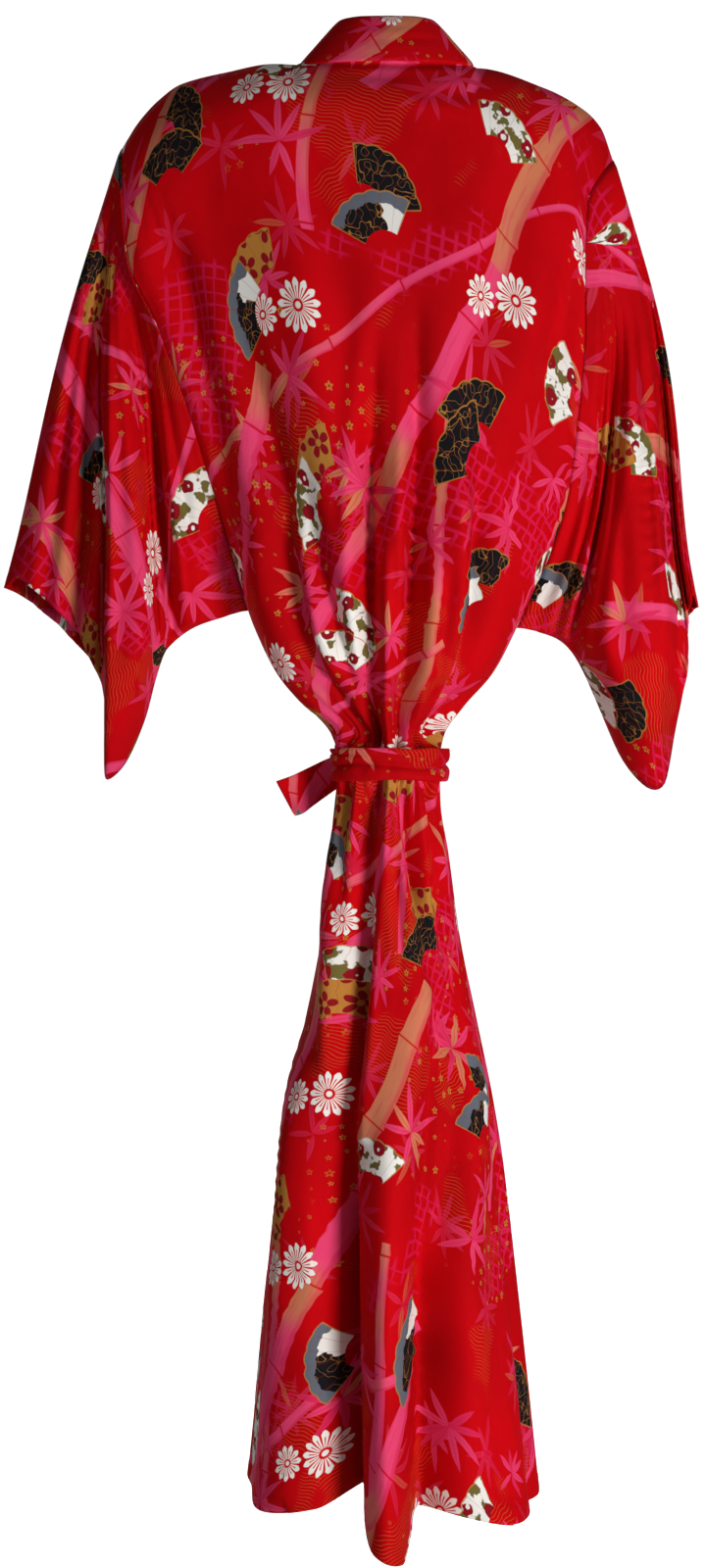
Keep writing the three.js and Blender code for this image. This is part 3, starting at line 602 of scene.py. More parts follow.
def shell(
    name: str, points: Grid, cloth_map: Grid, thick: Grid | float, loop: bool = False
) -> bpy.types.Object:
    """Makes a closed thin shell of cloth from a grid of places.

    Args:
        name: The piece's name.
        points: Places in millimetres, rows by columns. Its outer face is where normals_of points.
        cloth_map: For each place, where it is in the flat cloth, in metres.
        thick: The cloth's thickness in millimetres.
        loop: Whether the last column joins the first.

    Returns:
        The finished mesh object, smooth, at the origin.
    """
    high, wide = points.shape[:2]
    facing = normals_of(points, loop)
    half = (np.broadcast_to(np.asarray(thick, float), (high, wide)) / 2)[..., None]
    surfaces = [points + facing * half, points - facing * half]
    places = np.concatenate([surface.reshape(-1, 3) for surface in surfaces]) * MM
    columns = wide if loop else wide - 1
    i, j = np.meshgrid(np.arange(high - 1), np.arange(columns), indexing="ij")
    a, b = i * wide + j, i * wide + (j + 1) % wide
    inner = high * wide
    outside = np.stack([a, a + wide, b + wide, b], axis=-1).reshape(-1, 4)
    inside = np.stack([inner + a, inner + b, inner + b + wide, inner + a + wide], axis=-1).reshape(-1, 4)
    j = np.arange(columns)
    top, bottom = (j, (j + 1) % wide), ((high - 1) * wide + j, (high - 1) * wide + (j + 1) % wide)
    rims = [
        np.stack([top[0], top[1], inner + top[1], inner + top[0]], axis=-1),
        np.stack([bottom[0], inner + bottom[0], inner + bottom[1], bottom[1]], axis=-1),
    ]
    if not loop:
        i = np.arange(high - 1)
        first, last = i * wide, i * wide + wide - 1
        rims.append(np.stack([first, inner + first, inner + first + wide, first + wide], axis=-1))
        rims.append(np.stack([last, last + wide, inner + last + wide, inner + last], axis=-1))
    faces = np.concatenate([outside, inside, *rims])
    mesh = bpy.data.meshes.new(name)
    mesh.from_pydata(places.tolist(), [], faces.tolist())
    flat = np.concatenate([cloth_map.reshape(-1, 2)] * 2)
    layer = mesh.uv_layers.new(name="cloth")
    corners = np.zeros(len(mesh.loops), np.int32)
    mesh.loops.foreach_get("vertex_index", corners)
    layer.data.foreach_set("uv", flat[corners].astype(np.float32).ravel())
    mesh.polygons.foreach_set("use_smooth", np.ones(len(mesh.polygons), bool))
    mesh.validate()
    mesh.update()
    piece = bpy.data.objects.new(name, mesh)
    bpy.context.scene.collection.objects.link(piece)
    return piece


def hand_over(
    piece: bpy.types.Object, node: str, material: bpy.types.Material
) -> bpy.types.Object:
    """Dresses a finished piece and lets it stand for its CAD node."""
    piece.data.materials.append(material)
    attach(piece, "root")
    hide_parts(node)
    LOG.info("%s: %d faces", piece.name, len(piece.data.polygons))
    return piece


@dataclass
class Body:
    """The back, the two fronts and the two overlaps, from the shoulders down to the hem."""

    cut_width: float = 520.0
    front_cut: float = 245.0
    hem: float = 14.0
    hidden: float = 0.62
    back_columns: int = 170
    front_columns: int = 84
    overlap_columns: int = 28
    row_step: float = 6.2

    def rows(self, start: float = 0.0) -> Grid:
        """How far down each row of the cloth lies, closer together at the shoulder and at the hem."""
        top = np.array([0.0, 0.8, 2.0, 4.0, 6.5, 9.5, 13.0, 17.0, 22.0, 28.0])
        plain = np.arange(34.0, LENGTH - self.hem - 2, self.row_step)
        end = LENGTH - np.array([self.hem + 1.2, self.hem, self.hem - 1.2, 9, 6, 3.5, 1.5, 0.4, 0])
        rows = np.concatenate([top, plain, end])
        return rows if start <= 0 else np.concatenate([[start], rows[rows > start + 2]])

    def thickness(self, down: Grid) -> Grid:
        """A single layer of cloth, doubled where the hem is turned up, and rounded at its lower edge."""
        turned_up = smooth((down - (LENGTH - self.hem - 1.2)) / 1.6)
        edge = np.sqrt(np.clip((LENGTH + 0.3 - down) / 1.8, 0.02, 1))
        return (CLOTH + 0.7 * turned_up) * edge

    def cloth_map(
        self, points: Grid, share: Grid, down: Grid, cut: float, gathers: Gathers, start: float
    ) -> Grid:
        """Where each place is in the flat cloth, in metres.

        Where the belt gathers the cloth, most of its width hides in the ripples' troughs.

        Args:
            points: Places of the cloth in millimetres.
            share: Place across, from -1 to 1.
            down: How far down the cloth.
            cut: The whole width of the cloth from share -1 to 1.
            gathers: The ripples at the belt.
            start: Where this piece's cloth begins in the print.

        Returns:
            For each place, across and down in metres.
        """
        steps = np.linalg.norm(np.diff(points, axis=1), axis=-1)
        shown = np.sum(steps, axis=1, keepdims=True) / np.abs(share[:, -1:] - share[:, :1])
        spread = shown**0.55 * (cut / 2) ** 0.45
        hidden = self.hidden * gathers.near(down)
        ripple = hidden / (np.pi * gathers.count) * np.sin(gathers.phase(share))
        across = spread * (share - ripple) + 2.0 * soft_noise(points[..., 0] / 60, points[..., 2] / 60, 5)
        return np.stack([across * MM + start, np.broadcast_to(-down, share.shape) * MM], axis=-1)

    def back(self, material: bpy.types.Material) -> bpy.types.Object:
        """The back panel, one width of cloth with no seam down its middle."""
        share, down = np.meshgrid(np.linspace(-1, 1, self.back_columns + 1), self.rows())
        points = body_point(Half.BACK, share, down)
        flat = self.cloth_map(points, share, down, self.cut_width, BACK_GATHERS, 3.0)
        piece = shell("back_cloth", points, flat, self.thickness(down))
        return hand_over(piece, "back", material)

    def front(self, side: Side, material: bpy.types.Material) -> bpy.types.Object:
        """One front, from its side seam to the neckline and the overlap's seam."""
        part, down = np.meshgrid(np.linspace(0, 1, self.front_columns + 1), self.rows())
        edge = np.minimum(edge_share(side, down), -SEAM_SHARE)
        share = mix(-1.0, edge, part)
        if side is Side.LEFT:
            share = share[:, ::-1]
        points = front_point(side, share, down)
        flat = self.cloth_map(points, share, down, 2 * self.front_cut, FRONT_GATHERS, 5.0 + side.value)
        name = side.node("front")
        piece = shell(f"{name}_cloth", points, flat, self.thickness(down))
        return hand_over(piece, name, material)

    def overlap(self, side: Side, material: bpy.types.Material) -> bpy.types.Object:
        """One overlap, a long strip with a pointed top beside the neckline."""
        part, down = np.meshgrid(np.linspace(0, 1, self.overlap_columns + 1), self.rows(OVERLAP_FROM + 3))
        share = mix(SEAM_SHARE, np.maximum(edge_share(side, down), 0.004), part)
        if side is Side.LEFT:
            share = share[:, ::-1]
        points = front_point(side, share, down)
        flat = self.cloth_map(points, share, down, 2 * self.front_cut, FRONT_GATHERS, 5.0 + side.value)
        name = side.node("overlap")
        piece = shell(f"{name}_cloth", points, flat, self.thickness(down))
        return hand_over(piece, name, material)


@dataclass
class Sleeve:
    """A wide bag sleeve that hangs from the shoulder tip in folds which run out from it like rays."""

    side: Side
    turns: int = 190
    outs: int = 96
    cut: tuple[float, float] = (400.0, 900.0)
    seam_gap: float = 0.5
    beside: tuple[float, float] = (1.3, 3.2)
    pleat_width: float = 9.0
    pleat_depth: tuple[float, float] = (0.030, 0.064)
    cuff_step: float = 13.0
    cuff_rays: float = 30.0

    def middle(self, aside: Grid, below: Grid) -> Grid:
        """Where a place of the flat sleeve hangs, between its two layers.

        Args:
            aside: Its distance from the sleeve seam.
            below: Its distance from the top fold.

        Returns:
            Places in millimetres, on the middle plane.
        """
        rays = SLEEVE_RAYS[self.side]
        column = "left" if self.side is Side.LEFT else "right"
        reach = np.hypot(aside, below)
        ray = np.degrees(np.arctan2(below, aside))
        tip = np.array([float(BODY_ROW.at(column + "X", 0.0)), 0.0, float(BODY_ROW.at(column + "Z", 0.0))])

        def hang(angle: Grid) -> Grid:
            """Where the cloth of one ray hangs, seen from the shoulder tip."""
            near, far = rays.at("near", angle), rays.at("far", angle)
            lean = np.radians(mix(near, far, smooth((reach - SLEEVE_CAP) / 300)))
            return stack(self.side.value * np.sin(lean), 0.0, -np.cos(lean)) * reach[..., None]

        seam = np.minimum(reach, ARMHOLE)
        edge = stack(BODY_ROW.at(column + "X", seam), 0.0, BODY_ROW.at(column + "Z", seam))
        shift = edge - tip - hang(np.full(reach.shape, 90.0))
        return tip + hang(ray) + shift * smooth((ray - 35) / 55)[..., None]

    def pleats(self, turn: Grid, reach: Grid) -> Grid:
        """The narrow folds along the rays, deeper in front and in the hollows, that take up width."""
        ray = np.abs(turn)
        first, second = (27.0, 72.0) if self.side is Side.LEFT else (11.0, 78.0)
        hollow = bump((ray - first) / 9) + bump((ray - second) / 11)
        behind = self.pleat_depth[0] * (0.16 + 0.84 * np.clip(hollow, 0, 1))
        depth = np.where(turn < 0, behind, self.pleat_depth[1])
        wander = 0.8 * soft_noise(ray / 17, reach / 260, 17 + self.side.value)
        phase = 2 * np.pi * ray / self.pleat_width + wander + np.where(turn < 0, 0.0, 1.1)
        wave = 0.5 + 0.5 * np.sin(phase)
        fading = smooth((reach - 50) / 220) * smooth(ray / 12) * smooth((90 - ray) / 5)
        return 2 * depth * wave * reach * fading

    def rim(self, ray: Grid) -> Grid:
        """How far out from the shoulder tip the cloth goes along each ray."""
        c, s = np.cos(np.radians(ray)), np.sin(np.radians(ray))
        bottom = mix(SLEEVE_DEPTH, ARMHOLE, smooth((ray - 55) / 35))
        straight = np.minimum(SLEEVE_WIDTH / np.maximum(c, 1e-6), bottom / np.maximum(s, 1e-6))
        cx, cy = SLEEVE_WIDTH - SLEEVE_CORNER, SLEEVE_DEPTH - SLEEVE_CORNER
        along = c * cx + s * cy
        inside = SLEEVE_CORNER**2 - (cx * cx + cy * cy - along * along)
        reach = np.where(inside > 0, along + np.sqrt(np.maximum(inside, 0)), 1e9)
        corner = (reach * c > cx) & (reach * s > cy)
        return np.where(corner, np.minimum(reach, straight), straight)

    def places(self, turn: Grid, out: Grid) -> tuple[Grid, Grid]:
        """The sleeve's cloth.

        Args:
            turn: From -90 at the back seam over the top fold at 0 to 90 at the front seam.
            out: From -1 at the sleeve seam over 0, where the rays begin, to 1 at the rim.

        Returns:
            Places in millimetres, and how far each is from the shoulder tip.
        """
        ray = np.abs(turn)
        c, s = np.cos(np.radians(ray)), np.sin(np.radians(ray))
        rim = self.rim(ray)
        shorter = self.cuff_step * smooth(ray / 5) * smooth((self.cuff_rays - ray) / 6)
        rim = rim - np.where(turn < 0, shorter, 0.0)
        reach = mix(SLEEVE_CAP, rim, np.maximum(0, out))
        aside = reach * c * np.minimum(1, 1 + out)
        below = reach * s
        swell = SLEEVE_RAYS[self.side].at("swell", ray) * reach * smooth((reach + 60) / 260)
        swell = swell + self.pleats(turn, reach)
        loose = SLEEVE_MOST_SWELL * np.tanh(swell / SLEEVE_MOST_SWELL)
        at_seam = BODY_ROW.at("edge", np.minimum(below, ARMHOLE))
        sewn = smooth((below - CUFF * 0.8) / (CUFF * 0.4))
        closing = mix(1, np.sin(np.pi / 2 * np.clip((rim - reach) / SLEEVE_CLOSING, 0, 1)), sewn)
        half = np.where(turn < 0, -1.0, 1.0)
        middle = self.middle(aside, below)
        x, z = middle[..., 0], middle[..., 2]
        relief = 1.5 * soft_noise(x / 45, z / 120, 11 + self.side.value)
        relief = relief + 0.9 * soft_noise(x / 20, z / 45, 13)
        relief = relief + 0.3 * soft_noise(x / 10, z / 24, 15)
        for crease in SLEEVE_CREASES[self.side]:
            relief = relief + crease.push(x, z)
        free = smooth(aside / 30) * smooth((reach - 60) / 60) * smooth(ray / 14)
        free = free * smooth((rim - reach) / 12 + 0.25)
        open_by = mix(loose, at_seam, 1 - smooth(aside / 110)) + relief * free
        least = np.where(ray < 0.01, 0, SEAM / 2 + 0.4 * smooth(ray / 3))
        apart = half * np.maximum(least, open_by * closing)
        beside = mix(*self.beside, smooth((below - 300) / 150)) * smooth(aside / 6) + self.seam_gap
        middle = middle + stack(self.side.value * beside, apart, 0 * apart)
        return middle, reach

    def cloth_map(self, points: Grid, reach: Grid, out: Grid) -> Grid:
        """Places on the flat cloth, in metres: the sleeve unrolled as a cone about the shoulder tip."""
        row = int(0.62 * len(points))
        steps = np.linalg.norm(np.diff(points[row], axis=0), axis=-1)
        slant = np.diff(reach[row])
        arcs = np.sqrt(np.maximum(steps**2 - slant**2, 0)) * 2 / (reach[row][1:] + reach[row][:-1])
        angle = np.concatenate([[0], np.cumsum(arcs)])
        angle = (angle - angle[len(angle) // 2]) * self.side.value
        across = self.side.value * reach * np.cos(angle) * np.minimum(1, 1 + out)
        return np.stack([across * MM, reach * np.sin(angle) * MM], axis=-1)

    def build(self, material: bpy.types.Material) -> bpy.types.Object:
        """Makes the sleeve, with its cuff open and turned in and its bottom sewn shut."""
        turn = np.linspace(-90, 90, self.turns + 1)
        cap, cuff = np.linspace(-1, 0, 14)[:-1], [0.955, 0.97, 0.985, 1]
        out = np.concatenate([cap, np.linspace(0, 0.94, self.outs), cuff])
        if self.side is Side.LEFT:
            turn = turn[::-1]
        turn, out = np.meshgrid(turn, out)
        points, reach = self.places(turn, out)
        flat = self.cloth_map(points, reach, out)
        flat[..., 0] += 8.0 + self.side.value
        thick = CLOTH + 0.5 * smooth((out - 0.955) / 0.02)
        name = self.side.node("sleeve")
        piece = shell(f"{name}_cloth", points, flat, thick)
        neighbours = ["back", self.side.node("front")]
        return hand_over(piece, name, material)


@dataclass
class Collar:
    """The long folded band from one front edge round the neck to the other."""

    columns: int = 22
    row_step: float = 6.0
    neck_rows: int = 34
    lap: float = 0.085
    lap_out: float = 1.6

    def at_neck(self, side: Side, part: Grid, over: Grid) -> Grid:
        """Places round the neck, where part is 0 at the middle of the back and 1 at a shoulder seam."""
        base = {name: COLLAR_ROUND.at(name, part) for name in COLLAR_ROUND.columns}
        low = stack(side.value * base["baseX"], base["baseY"], base["baseZ"])
        high = stack(side.value * base["freeX"], base["freeY"], base["freeZ"])
        bow = 2.6 * np.sin(np.pi * over) * (1 - 0.5 * part)
        creases = 1.3 * bump((over - 0.42 - 0.1 * part) / 0.09) * bump((part * side.value - 0.35) / 0.6)
        creases = creases + 0.9 * bump((over - 0.72) / 0.06) * bump((part * side.value + 0.1) / 0.5)
        lap = (1 - over) * smooth((1 - part) / 0.2)
        lean = stack(0 * part, -(bow - creases) - self.lap_out * lap**2, 0.4 * bow)
        return low + (high - low) * (over - self.lap * lap)[..., None] + lean

    def on_front(self, side: Side, down: Grid, over: Grid) -> Grid:
        """Places on a front, where the collar goes on from the neckline over the form of the body."""
        above, below = np.maximum(0, down - 5), down + 5
        near, far = body_form(Half.FRONT, 0.05, down), body_form(Half.FRONT, -0.05, down)
        section = np.linalg.norm(near - far, axis=-1) / 0.1
        slant = (edge_share(side, below) - edge_share(side, above)) * section
        size = np.hypot(below - above, slant)
        tilt_x, tilt_z = (below - above) / size, slant / size
        wide = np.minimum(COLLAR_WIDTH / section, COLLAR_SHARE)
        seam = np.where(down > OVERLAP_FROM, SEAM_SHARE, -1.0)
        edge = np.maximum(edge_share(side, down), seam) + COLLAR_SEAM / section
        base = front_point(side, edge, down)
        lower = np.maximum(0, down - COLLAR_WIDTH * over * tilt_z)
        lying = front_point(side, edge + wide * over * tilt_x, lower)
        ones = np.ones_like(down)
        standing = self.at_neck(side, ones, over) - self.at_neck(side, ones, 0 * over) + base
        share = smooth(down / COLLAR_STANDS)[..., None]
        lift = stack(0 * down, 0.6 * np.sin(np.pi * over) * bump(down / 400), 0 * down)
        return standing * (1 - share) + lying * share + lift

    def build(self, material: bpy.types.Material) -> bpy.types.Object:
        """Makes the collar in one piece."""
        over = np.linspace(0, 1, self.columns + 1)
        down = np.concatenate([[0, 2, 5, 9], np.arange(14, COLLAR_END, self.row_step), [COLLAR_END]])
        part = np.linspace(0, 1, self.neck_rows + 1)[:-1]
        runs: list[Grid] = []
        o, d = np.meshgrid(over, down[::-1])
        runs.append(self.on_front(Side.LEFT, d, o))
        o, p = np.meshgrid(over, part[::-1][:-1])
        runs.append(self.at_neck(Side.LEFT, p, o))
        o, p = np.meshgrid(over, part)
        runs.append(self.at_neck(Side.RIGHT, p, o))
        o, d = np.meshgrid(over, down)
        runs.append(self.on_front(Side.RIGHT, d, o))
        points = np.concatenate(runs)
        steps = np.linalg.norm(np.diff(points[:, 0], axis=0), axis=-1)
        run = np.concatenate([[0], np.cumsum(steps)])
        run, across = np.meshgrid(run, over * COLLAR_WIDTH, indexing="ij")
        flat = np.stack([across * MM + 0.42, run * MM + 12.57], axis=-1)
        edge = np.clip(1 - (2 * across / COLLAR_WIDTH - 1) ** 8, 0.12, 1)
        piece = shell("collar_cloth", points, flat, DOUBLED * np.sqrt(edge))
        return hand_over(piece, "collar", material)


@dataclass
class Belt:
    """The robe's own cloth belt: a band round the waist, a knot in front and two free ends."""

    rows: int = 22
    columns: int = 110
    knot_at: tuple[float, float, float] = (4.0, 56.3, -637.0)
    knot_size: tuple[float, float, float] = (25.0, 13.0, 18.0)
    side_path: list[list[float]] = field(
        default_factory=lambda: [
            [-21.5, 54, -637, 8, 0, 0],
            [-36, 54, -641, 13, 0, 0.1],
            [-55, 49, -650, 17, 0.05, 0.15],
            [-72, 35, -660, 18, 0.15, 0.1],
            [-84, 22, -667, 18.5, 0.3, 0],
            [-94.5, 9, -670.5, 18.5, 0.55, -0.1],
        ]
    )
    front_path: list[list[float]] = field(
        default_factory=lambda: [
            [5, 54, -655.7, 8, 1, 0],
            [6, 58, -672, 14, 1, 0],
            [8, 66, -700, 18, 1, 0.1],
            [10, 75, -750, 19, 1, -0.1],
            [9, 86, -810, 19, 1, 0.12],
            [11, 95, -870, 19, 1, -0.08],
            [12, 103, -930, 19, 1, 0.05],
        ]
    )

    def band_point(self, half: Half, share: Grid, down: Grid, out: Grid) -> Grid:
        """Places that lie out from the body's form by the given millimetres."""
        along = body_form(half, share + 0.01, down) - body_form(half, share - 0.01, down)
        outward = stack(-along[..., 1], along[..., 0], 0 * share) * half.value
        outward /= np.linalg.norm(outward, axis=-1, keepdims=True)
        end = np.abs(share) > 0.999
        outward = np.where(end[..., None], stack(np.sign(share), 0 * share, 0 * share), outward)
        form = body_form(half, share, down)
        form[..., 1] = np.where(end, 0, form[..., 1])
        return form + outward * out[..., None]

    def band(self, material: bpy.types.Material) -> bpy.types.Object:
        """The band, pulled tight, with one long crease and its upper edge folded under at the left."""
        share = np.linspace(-1, 1, self.columns + 1)
        share, over = np.meshgrid(share, np.linspace(0, 1, self.rows + 1))
        wavy = 1.3 * soft_noise(share * 4, over * 1.4, 23) * (2 * over - 1) ** 2 * (1 - share**6)
        down = WAIST + (over - 0.5) * BELT_WIDTH + wavy
        crease = 0.6 + 0.07 * np.sin(4.2 * share)
        out = BELT_CLEAR + 0.8 - 3.4 * bump((over - crease) / 0.1) - 1.2 * (2 * over - 1) ** 4
        out = out - 2.2 * bump((over - 0.3 - 0.12 * share) / 0.08) * smooth(0.2 - share)
        out = out + 0.9 * soft_noise(share * 9, over * 4, 21)
        behind = self.band_point(Half.BACK, share, down, out)
        before = self.band_point(Half.FRONT, share, down, out)[:, 1:-1][:, ::-1]
        points = np.concatenate([behind, before], axis=1)
        steps = np.linalg.norm(np.diff(points[self.rows // 2], axis=0), axis=-1)
        run = np.concatenate([[0], np.cumsum(steps)])
        run = np.broadcast_to(run, points.shape[:2])
        down = np.broadcast_to((WAIST + (over - 0.5) * BELT_WIDTH)[:, :1], points.shape[:2])
        flat = np.stack([-down * MM + 3.483, run * MM - 0.475], axis=-1)
        edge = np.clip(1 - (2 * (down - WAIST) / BELT_WIDTH) ** 10, 0.1, 1)
        piece = shell("belt_band_cloth", points, flat, DOUBLED * np.sqrt(edge), loop=True)
        return hand_over(piece, "belt_band", material)

    def knot(self, material: bpy.types.Material) -> bpy.types.Object:
        """The knot: a firm lump of folded cloth with the turns of the belt across it."""
        turns = np.linspace(0, 2 * np.pi, 72, endpoint=False)
        around, up = np.meshgrid(turns, np.linspace(0.004, np.pi - 0.004, 48))
        unit = stack(np.sin(up) * np.cos(around), np.sin(up) * np.sin(around), np.cos(up))
        x, y, z = unit[..., 0], unit[..., 1], unit[..., 2]
        groove = 0.1 * bump((x - 0.7 * z) / 0.16) + 0.06 * bump((x + 0.55 - 0.5 * z) / 0.1)
        groove = groove + 0.05 * bump((x - 0.62 - 0.3 * z) / 0.09) + 0.03 * bump((z + 0.4 - 0.4 * x) / 0.1)
        ripple = 0.02 * soft_noise(x * 4, z * 4, 31)
        points = unit * np.array(self.knot_size) * (1 - groove * smooth(y * 2 + 0.4) + ripple)[..., None]
        points = points + np.array(self.knot_at)
        mesh = bpy.data.meshes.new("belt_knot_cloth")
        high, wide = points.shape[:2]
        i, j = np.meshgrid(np.arange(high - 1), np.arange(wide), indexing="ij")
        a, b = i * wide + j, i * wide + (j + 1) % wide
        faces = np.stack([a, a + wide, b + wide, b], axis=-1).reshape(-1, 4).tolist()
        faces.append(list(range(wide)))
        faces.append([(high - 1) * wide + k for k in range(wide)][::-1])
        mesh.from_pydata((points.reshape(-1, 3) * MM).tolist(), [], faces)
        layer = mesh.uv_layers.new(name="cloth")
        spots = points.reshape(-1, 3)
        for corner, used in zip(mesh.loops, layer.data):
            spot = spots[corner.vertex_index]
            used.uv = (spot[0] * MM + 16.2, spot[2] * MM + 0.3)
        mesh.polygons.foreach_set("use_smooth", np.ones(len(mesh.polygons), bool))
        mesh.update()
        piece = bpy.data.objects.new("belt_knot_cloth", mesh)
        bpy.context.scene.collection.objects.link(piece)
        return hand_over(piece, "belt_knot", material)

    def tail(
        self, node: str, path: list[list[float]], seed: float, material: bpy.types.Material
    ) -> bpy.types.Object:
        """One free end of the belt: a folded strip along a path, with a slanted end."""
        names = ["run", "x", "y", "z", "half", "aside", "ahead"]
        table = Table(names, [[i, *row] for i, row in enumerate(path)])
        runs = np.linspace(0, len(path) - 1, 20 * len(path))
        run, over = np.meshgrid(runs, np.linspace(-1, 1, 17), indexing="ij")
        row = {name: table.at(name, run) for name in table.columns}
        level = stack(row["aside"], row["ahead"], np.where(row["aside"] > 0.99, 0, -1))
        level /= np.linalg.norm(level, axis=-1, keepdims=True)
        curl = 2.5 * np.cos(2.2 * over) + 0.9 * soft_noise(run * 1.3, over * 1.6, seed) * smooth(run)
        points = stack(row["x"], row["y"] + curl, row["z"]) + level * (over * row["half"])[..., None]
        steps = np.linalg.norm(np.diff(points[:, 8], axis=0), axis=-1)
        length = np.concatenate([[0], np.cumsum(steps)])
        run, _ = np.meshgrid(length, over[0], indexing="ij")
        flat = np.stack([over * row["half"] * MM + 18 + seed, run * MM + 0.6], axis=-1)
        edge = np.sqrt(np.clip(1 - over**8, 0.12, 1))
        piece = shell(f"{node}_cloth", points, flat, DOUBLED * edge)
        return hand_over(piece, node, material)

    def build(self, material: bpy.types.Material) -> list[bpy.types.Object]:
        """Makes the band, the knot and both free ends."""
        return [
            self.band(material),
            self.knot(material),
            self.tail("belt_tail_side", self.side_path, 41, material),
            self.tail("belt_tail_front", self.front_path, 43, material),
        ]


class Field:
    """A number that varies over the cloth: the outlet of one shader node, with the usual sums."""

    def __init__(self, nodes: "Nodes", socket: bpy.types.NodeSocket) -> None:
        """Keeps the outlet and the maker of further nodes."""
        self.nodes = nodes
        self.socket = socket

    def __add__(self, other: "Number") -> "Field":
        """The sum."""
        return self.nodes.math("ADD", self, other)

    def __sub__(self, other: "Number") -> "Field":
        """The difference."""
        return self.nodes.math("SUBTRACT", self, other)

    def __mul__(self, other: "Number") -> "Field":
        """The product."""
        return self.nodes.math("MULTIPLY", self, other)

    def __truediv__(self, other: "Number") -> "Field":
        """The quotient."""
        return self.nodes.math("DIVIDE", self, other)

    def sine(self) -> "Field":
        """The sine."""
        return self.nodes.math("SINE", self)

    def cosine(self) -> "Field":
        """The cosine."""
        return self.nodes.math("COSINE", self)

    def floor(self) -> "Field":
        """The whole number below."""
        return self.nodes.math("FLOOR", self)

    def part(self) -> "Field":
        """What is left over the whole number below."""
        return self.nodes.math("FRACT", self)

    def size(self) -> "Field":
        """The number without its sign."""
        return self.nodes.math("ABSOLUTE", self)

    def power(self, other: "Number") -> "Field":
        """The number raised to a power."""
        return self.nodes.math("POWER", self, other)

    def below(self, limit: "Number", soft: float = 0.0004) -> "Field":
        """1 where the number is under a limit and 0 where it is over, with a soft edge."""
        return self.nodes.span(self - limit, soft, -soft)

    def above(self, limit: "Number", soft: float = 0.0004) -> "Field":
        """1 where the number is over a limit and 0 where it is under, with a soft edge."""
        return self.nodes.span(self - limit, -soft, soft)


Number = Field | float
SHARP = 0.00001
Colour = tuple[float, float, float]


class Nodes:
    """Adds the shader nodes of one material in the order in which they are used."""

    def __init__(self, material: bpy.types.Material) -> None:
        """Keeps the material's node tree."""
        self.tree = material.node_tree

    def add(self, kind: str, **settings: str | bool | float) -> bpy.types.Node:
        """Adds a node and sets its options."""
        node = self.tree.nodes.new(kind)
        for name, value in settings.items():
            setattr(node, name, value)
        return node

    def feed(self, inlet: bpy.types.NodeSocket, value: object) -> None:
        """Links a field or an outlet to an inlet, or sets the inlet's own value."""
        if isinstance(value, Field):
            value = value.socket
        if isinstance(value, bpy.types.NodeSocket):
            self.tree.links.new(value, inlet)
        elif isinstance(value, tuple):
            inlet.default_value = (*value, 1.0)
        else:
            inlet.default_value = value

    def math(self, operation: str, *values: Number) -> Field:
        """One sum on one, two or three numbers."""
        node = self.add("ShaderNodeMath", operation=operation)
        for inlet, value in zip(node.inputs, values):
            self.feed(inlet, value)
        return Field(self, node.outputs[0])

    def span(self, value: Field, low: float, high: float) -> Field:
        """Rises smoothly from 0 at one value to 1 at another."""
        node = self.add("ShaderNodeMapRange", interpolation_type="SMOOTHSTEP")
        for inlet, part in zip(node.inputs, (value, low, high, 0.0, 1.0)):
            self.feed(inlet, part)
        return Field(self, node.outputs[0])

    def vector(self, x: Number, y: Number, z: Number) -> bpy.types.NodeSocket:
        """Puts three numbers together."""
        node = self.add("ShaderNodeCombineXYZ")
        for inlet, part in zip(node.inputs, (x, y, z)):
            self.feed(inlet, part)
        return node.outputs[0]

    def parts(self, vector: bpy.types.NodeSocket) -> tuple[Field, Field, Field]:
        """Takes three numbers apart."""
        node = self.add("ShaderNodeSeparateXYZ")
        self.feed(node.inputs[0], vector)
        return Field(self, node.outputs[0]), Field(self, node.outputs[1]), Field(self, node.outputs[2])

    def noise(self, x: Number, y: Number, scale: float, seed: float, detail: float = 2.0) -> Field:
        """Cloudy noise around a half, with so many clouds to the metre."""
        node = self.add("ShaderNodeTexNoise", noise_dimensions="3D")
        self.feed(node.inputs["Vector"], self.vector(x, y, seed))
        node.inputs["Scale"].default_value = scale
        node.inputs["Detail"].default_value = detail
        return Field(self, node.outputs[0])

    def chance(self, x: Number, y: Number, seed: Number) -> tuple[Field, Field, Field]:
        """Three chance numbers that stay the same over each whole number of x and y."""
        node = self.add("ShaderNodeTexWhiteNoise", noise_dimensions="3D")
        self.feed(node.inputs["Vector"], self.vector(x, y, seed))
        return self.parts(node.outputs["Color"])

    def mix(self, share: Number, first: object, second: object) -> bpy.types.NodeSocket:
        """Blends one colour into another."""
        node = self.add("ShaderNodeMix", data_type="RGBA")
        self.feed(node.inputs[0], share)
        self.feed(node.inputs[6], first)
        self.feed(node.inputs[7], second)
        return node.outputs[2]


@dataclass(frozen=True)
class Cell:
    """One field of a grid laid over the cloth, in which one motif is printed."""

    x: Field
    y: Field
    across: Field
    down: Field
    chance: tuple[Field, Field, Field]

    def polar(self, nodes: Nodes, turn: Number = 0.0) -> tuple[Field, Field]:
        """The distance from the motif's centre and the angle around it."""
        radius = ((self.x * self.x) + (self.y * self.y)).power(0.5)
        return radius, nodes.math("ARCTAN2", self.x, self.y) + turn


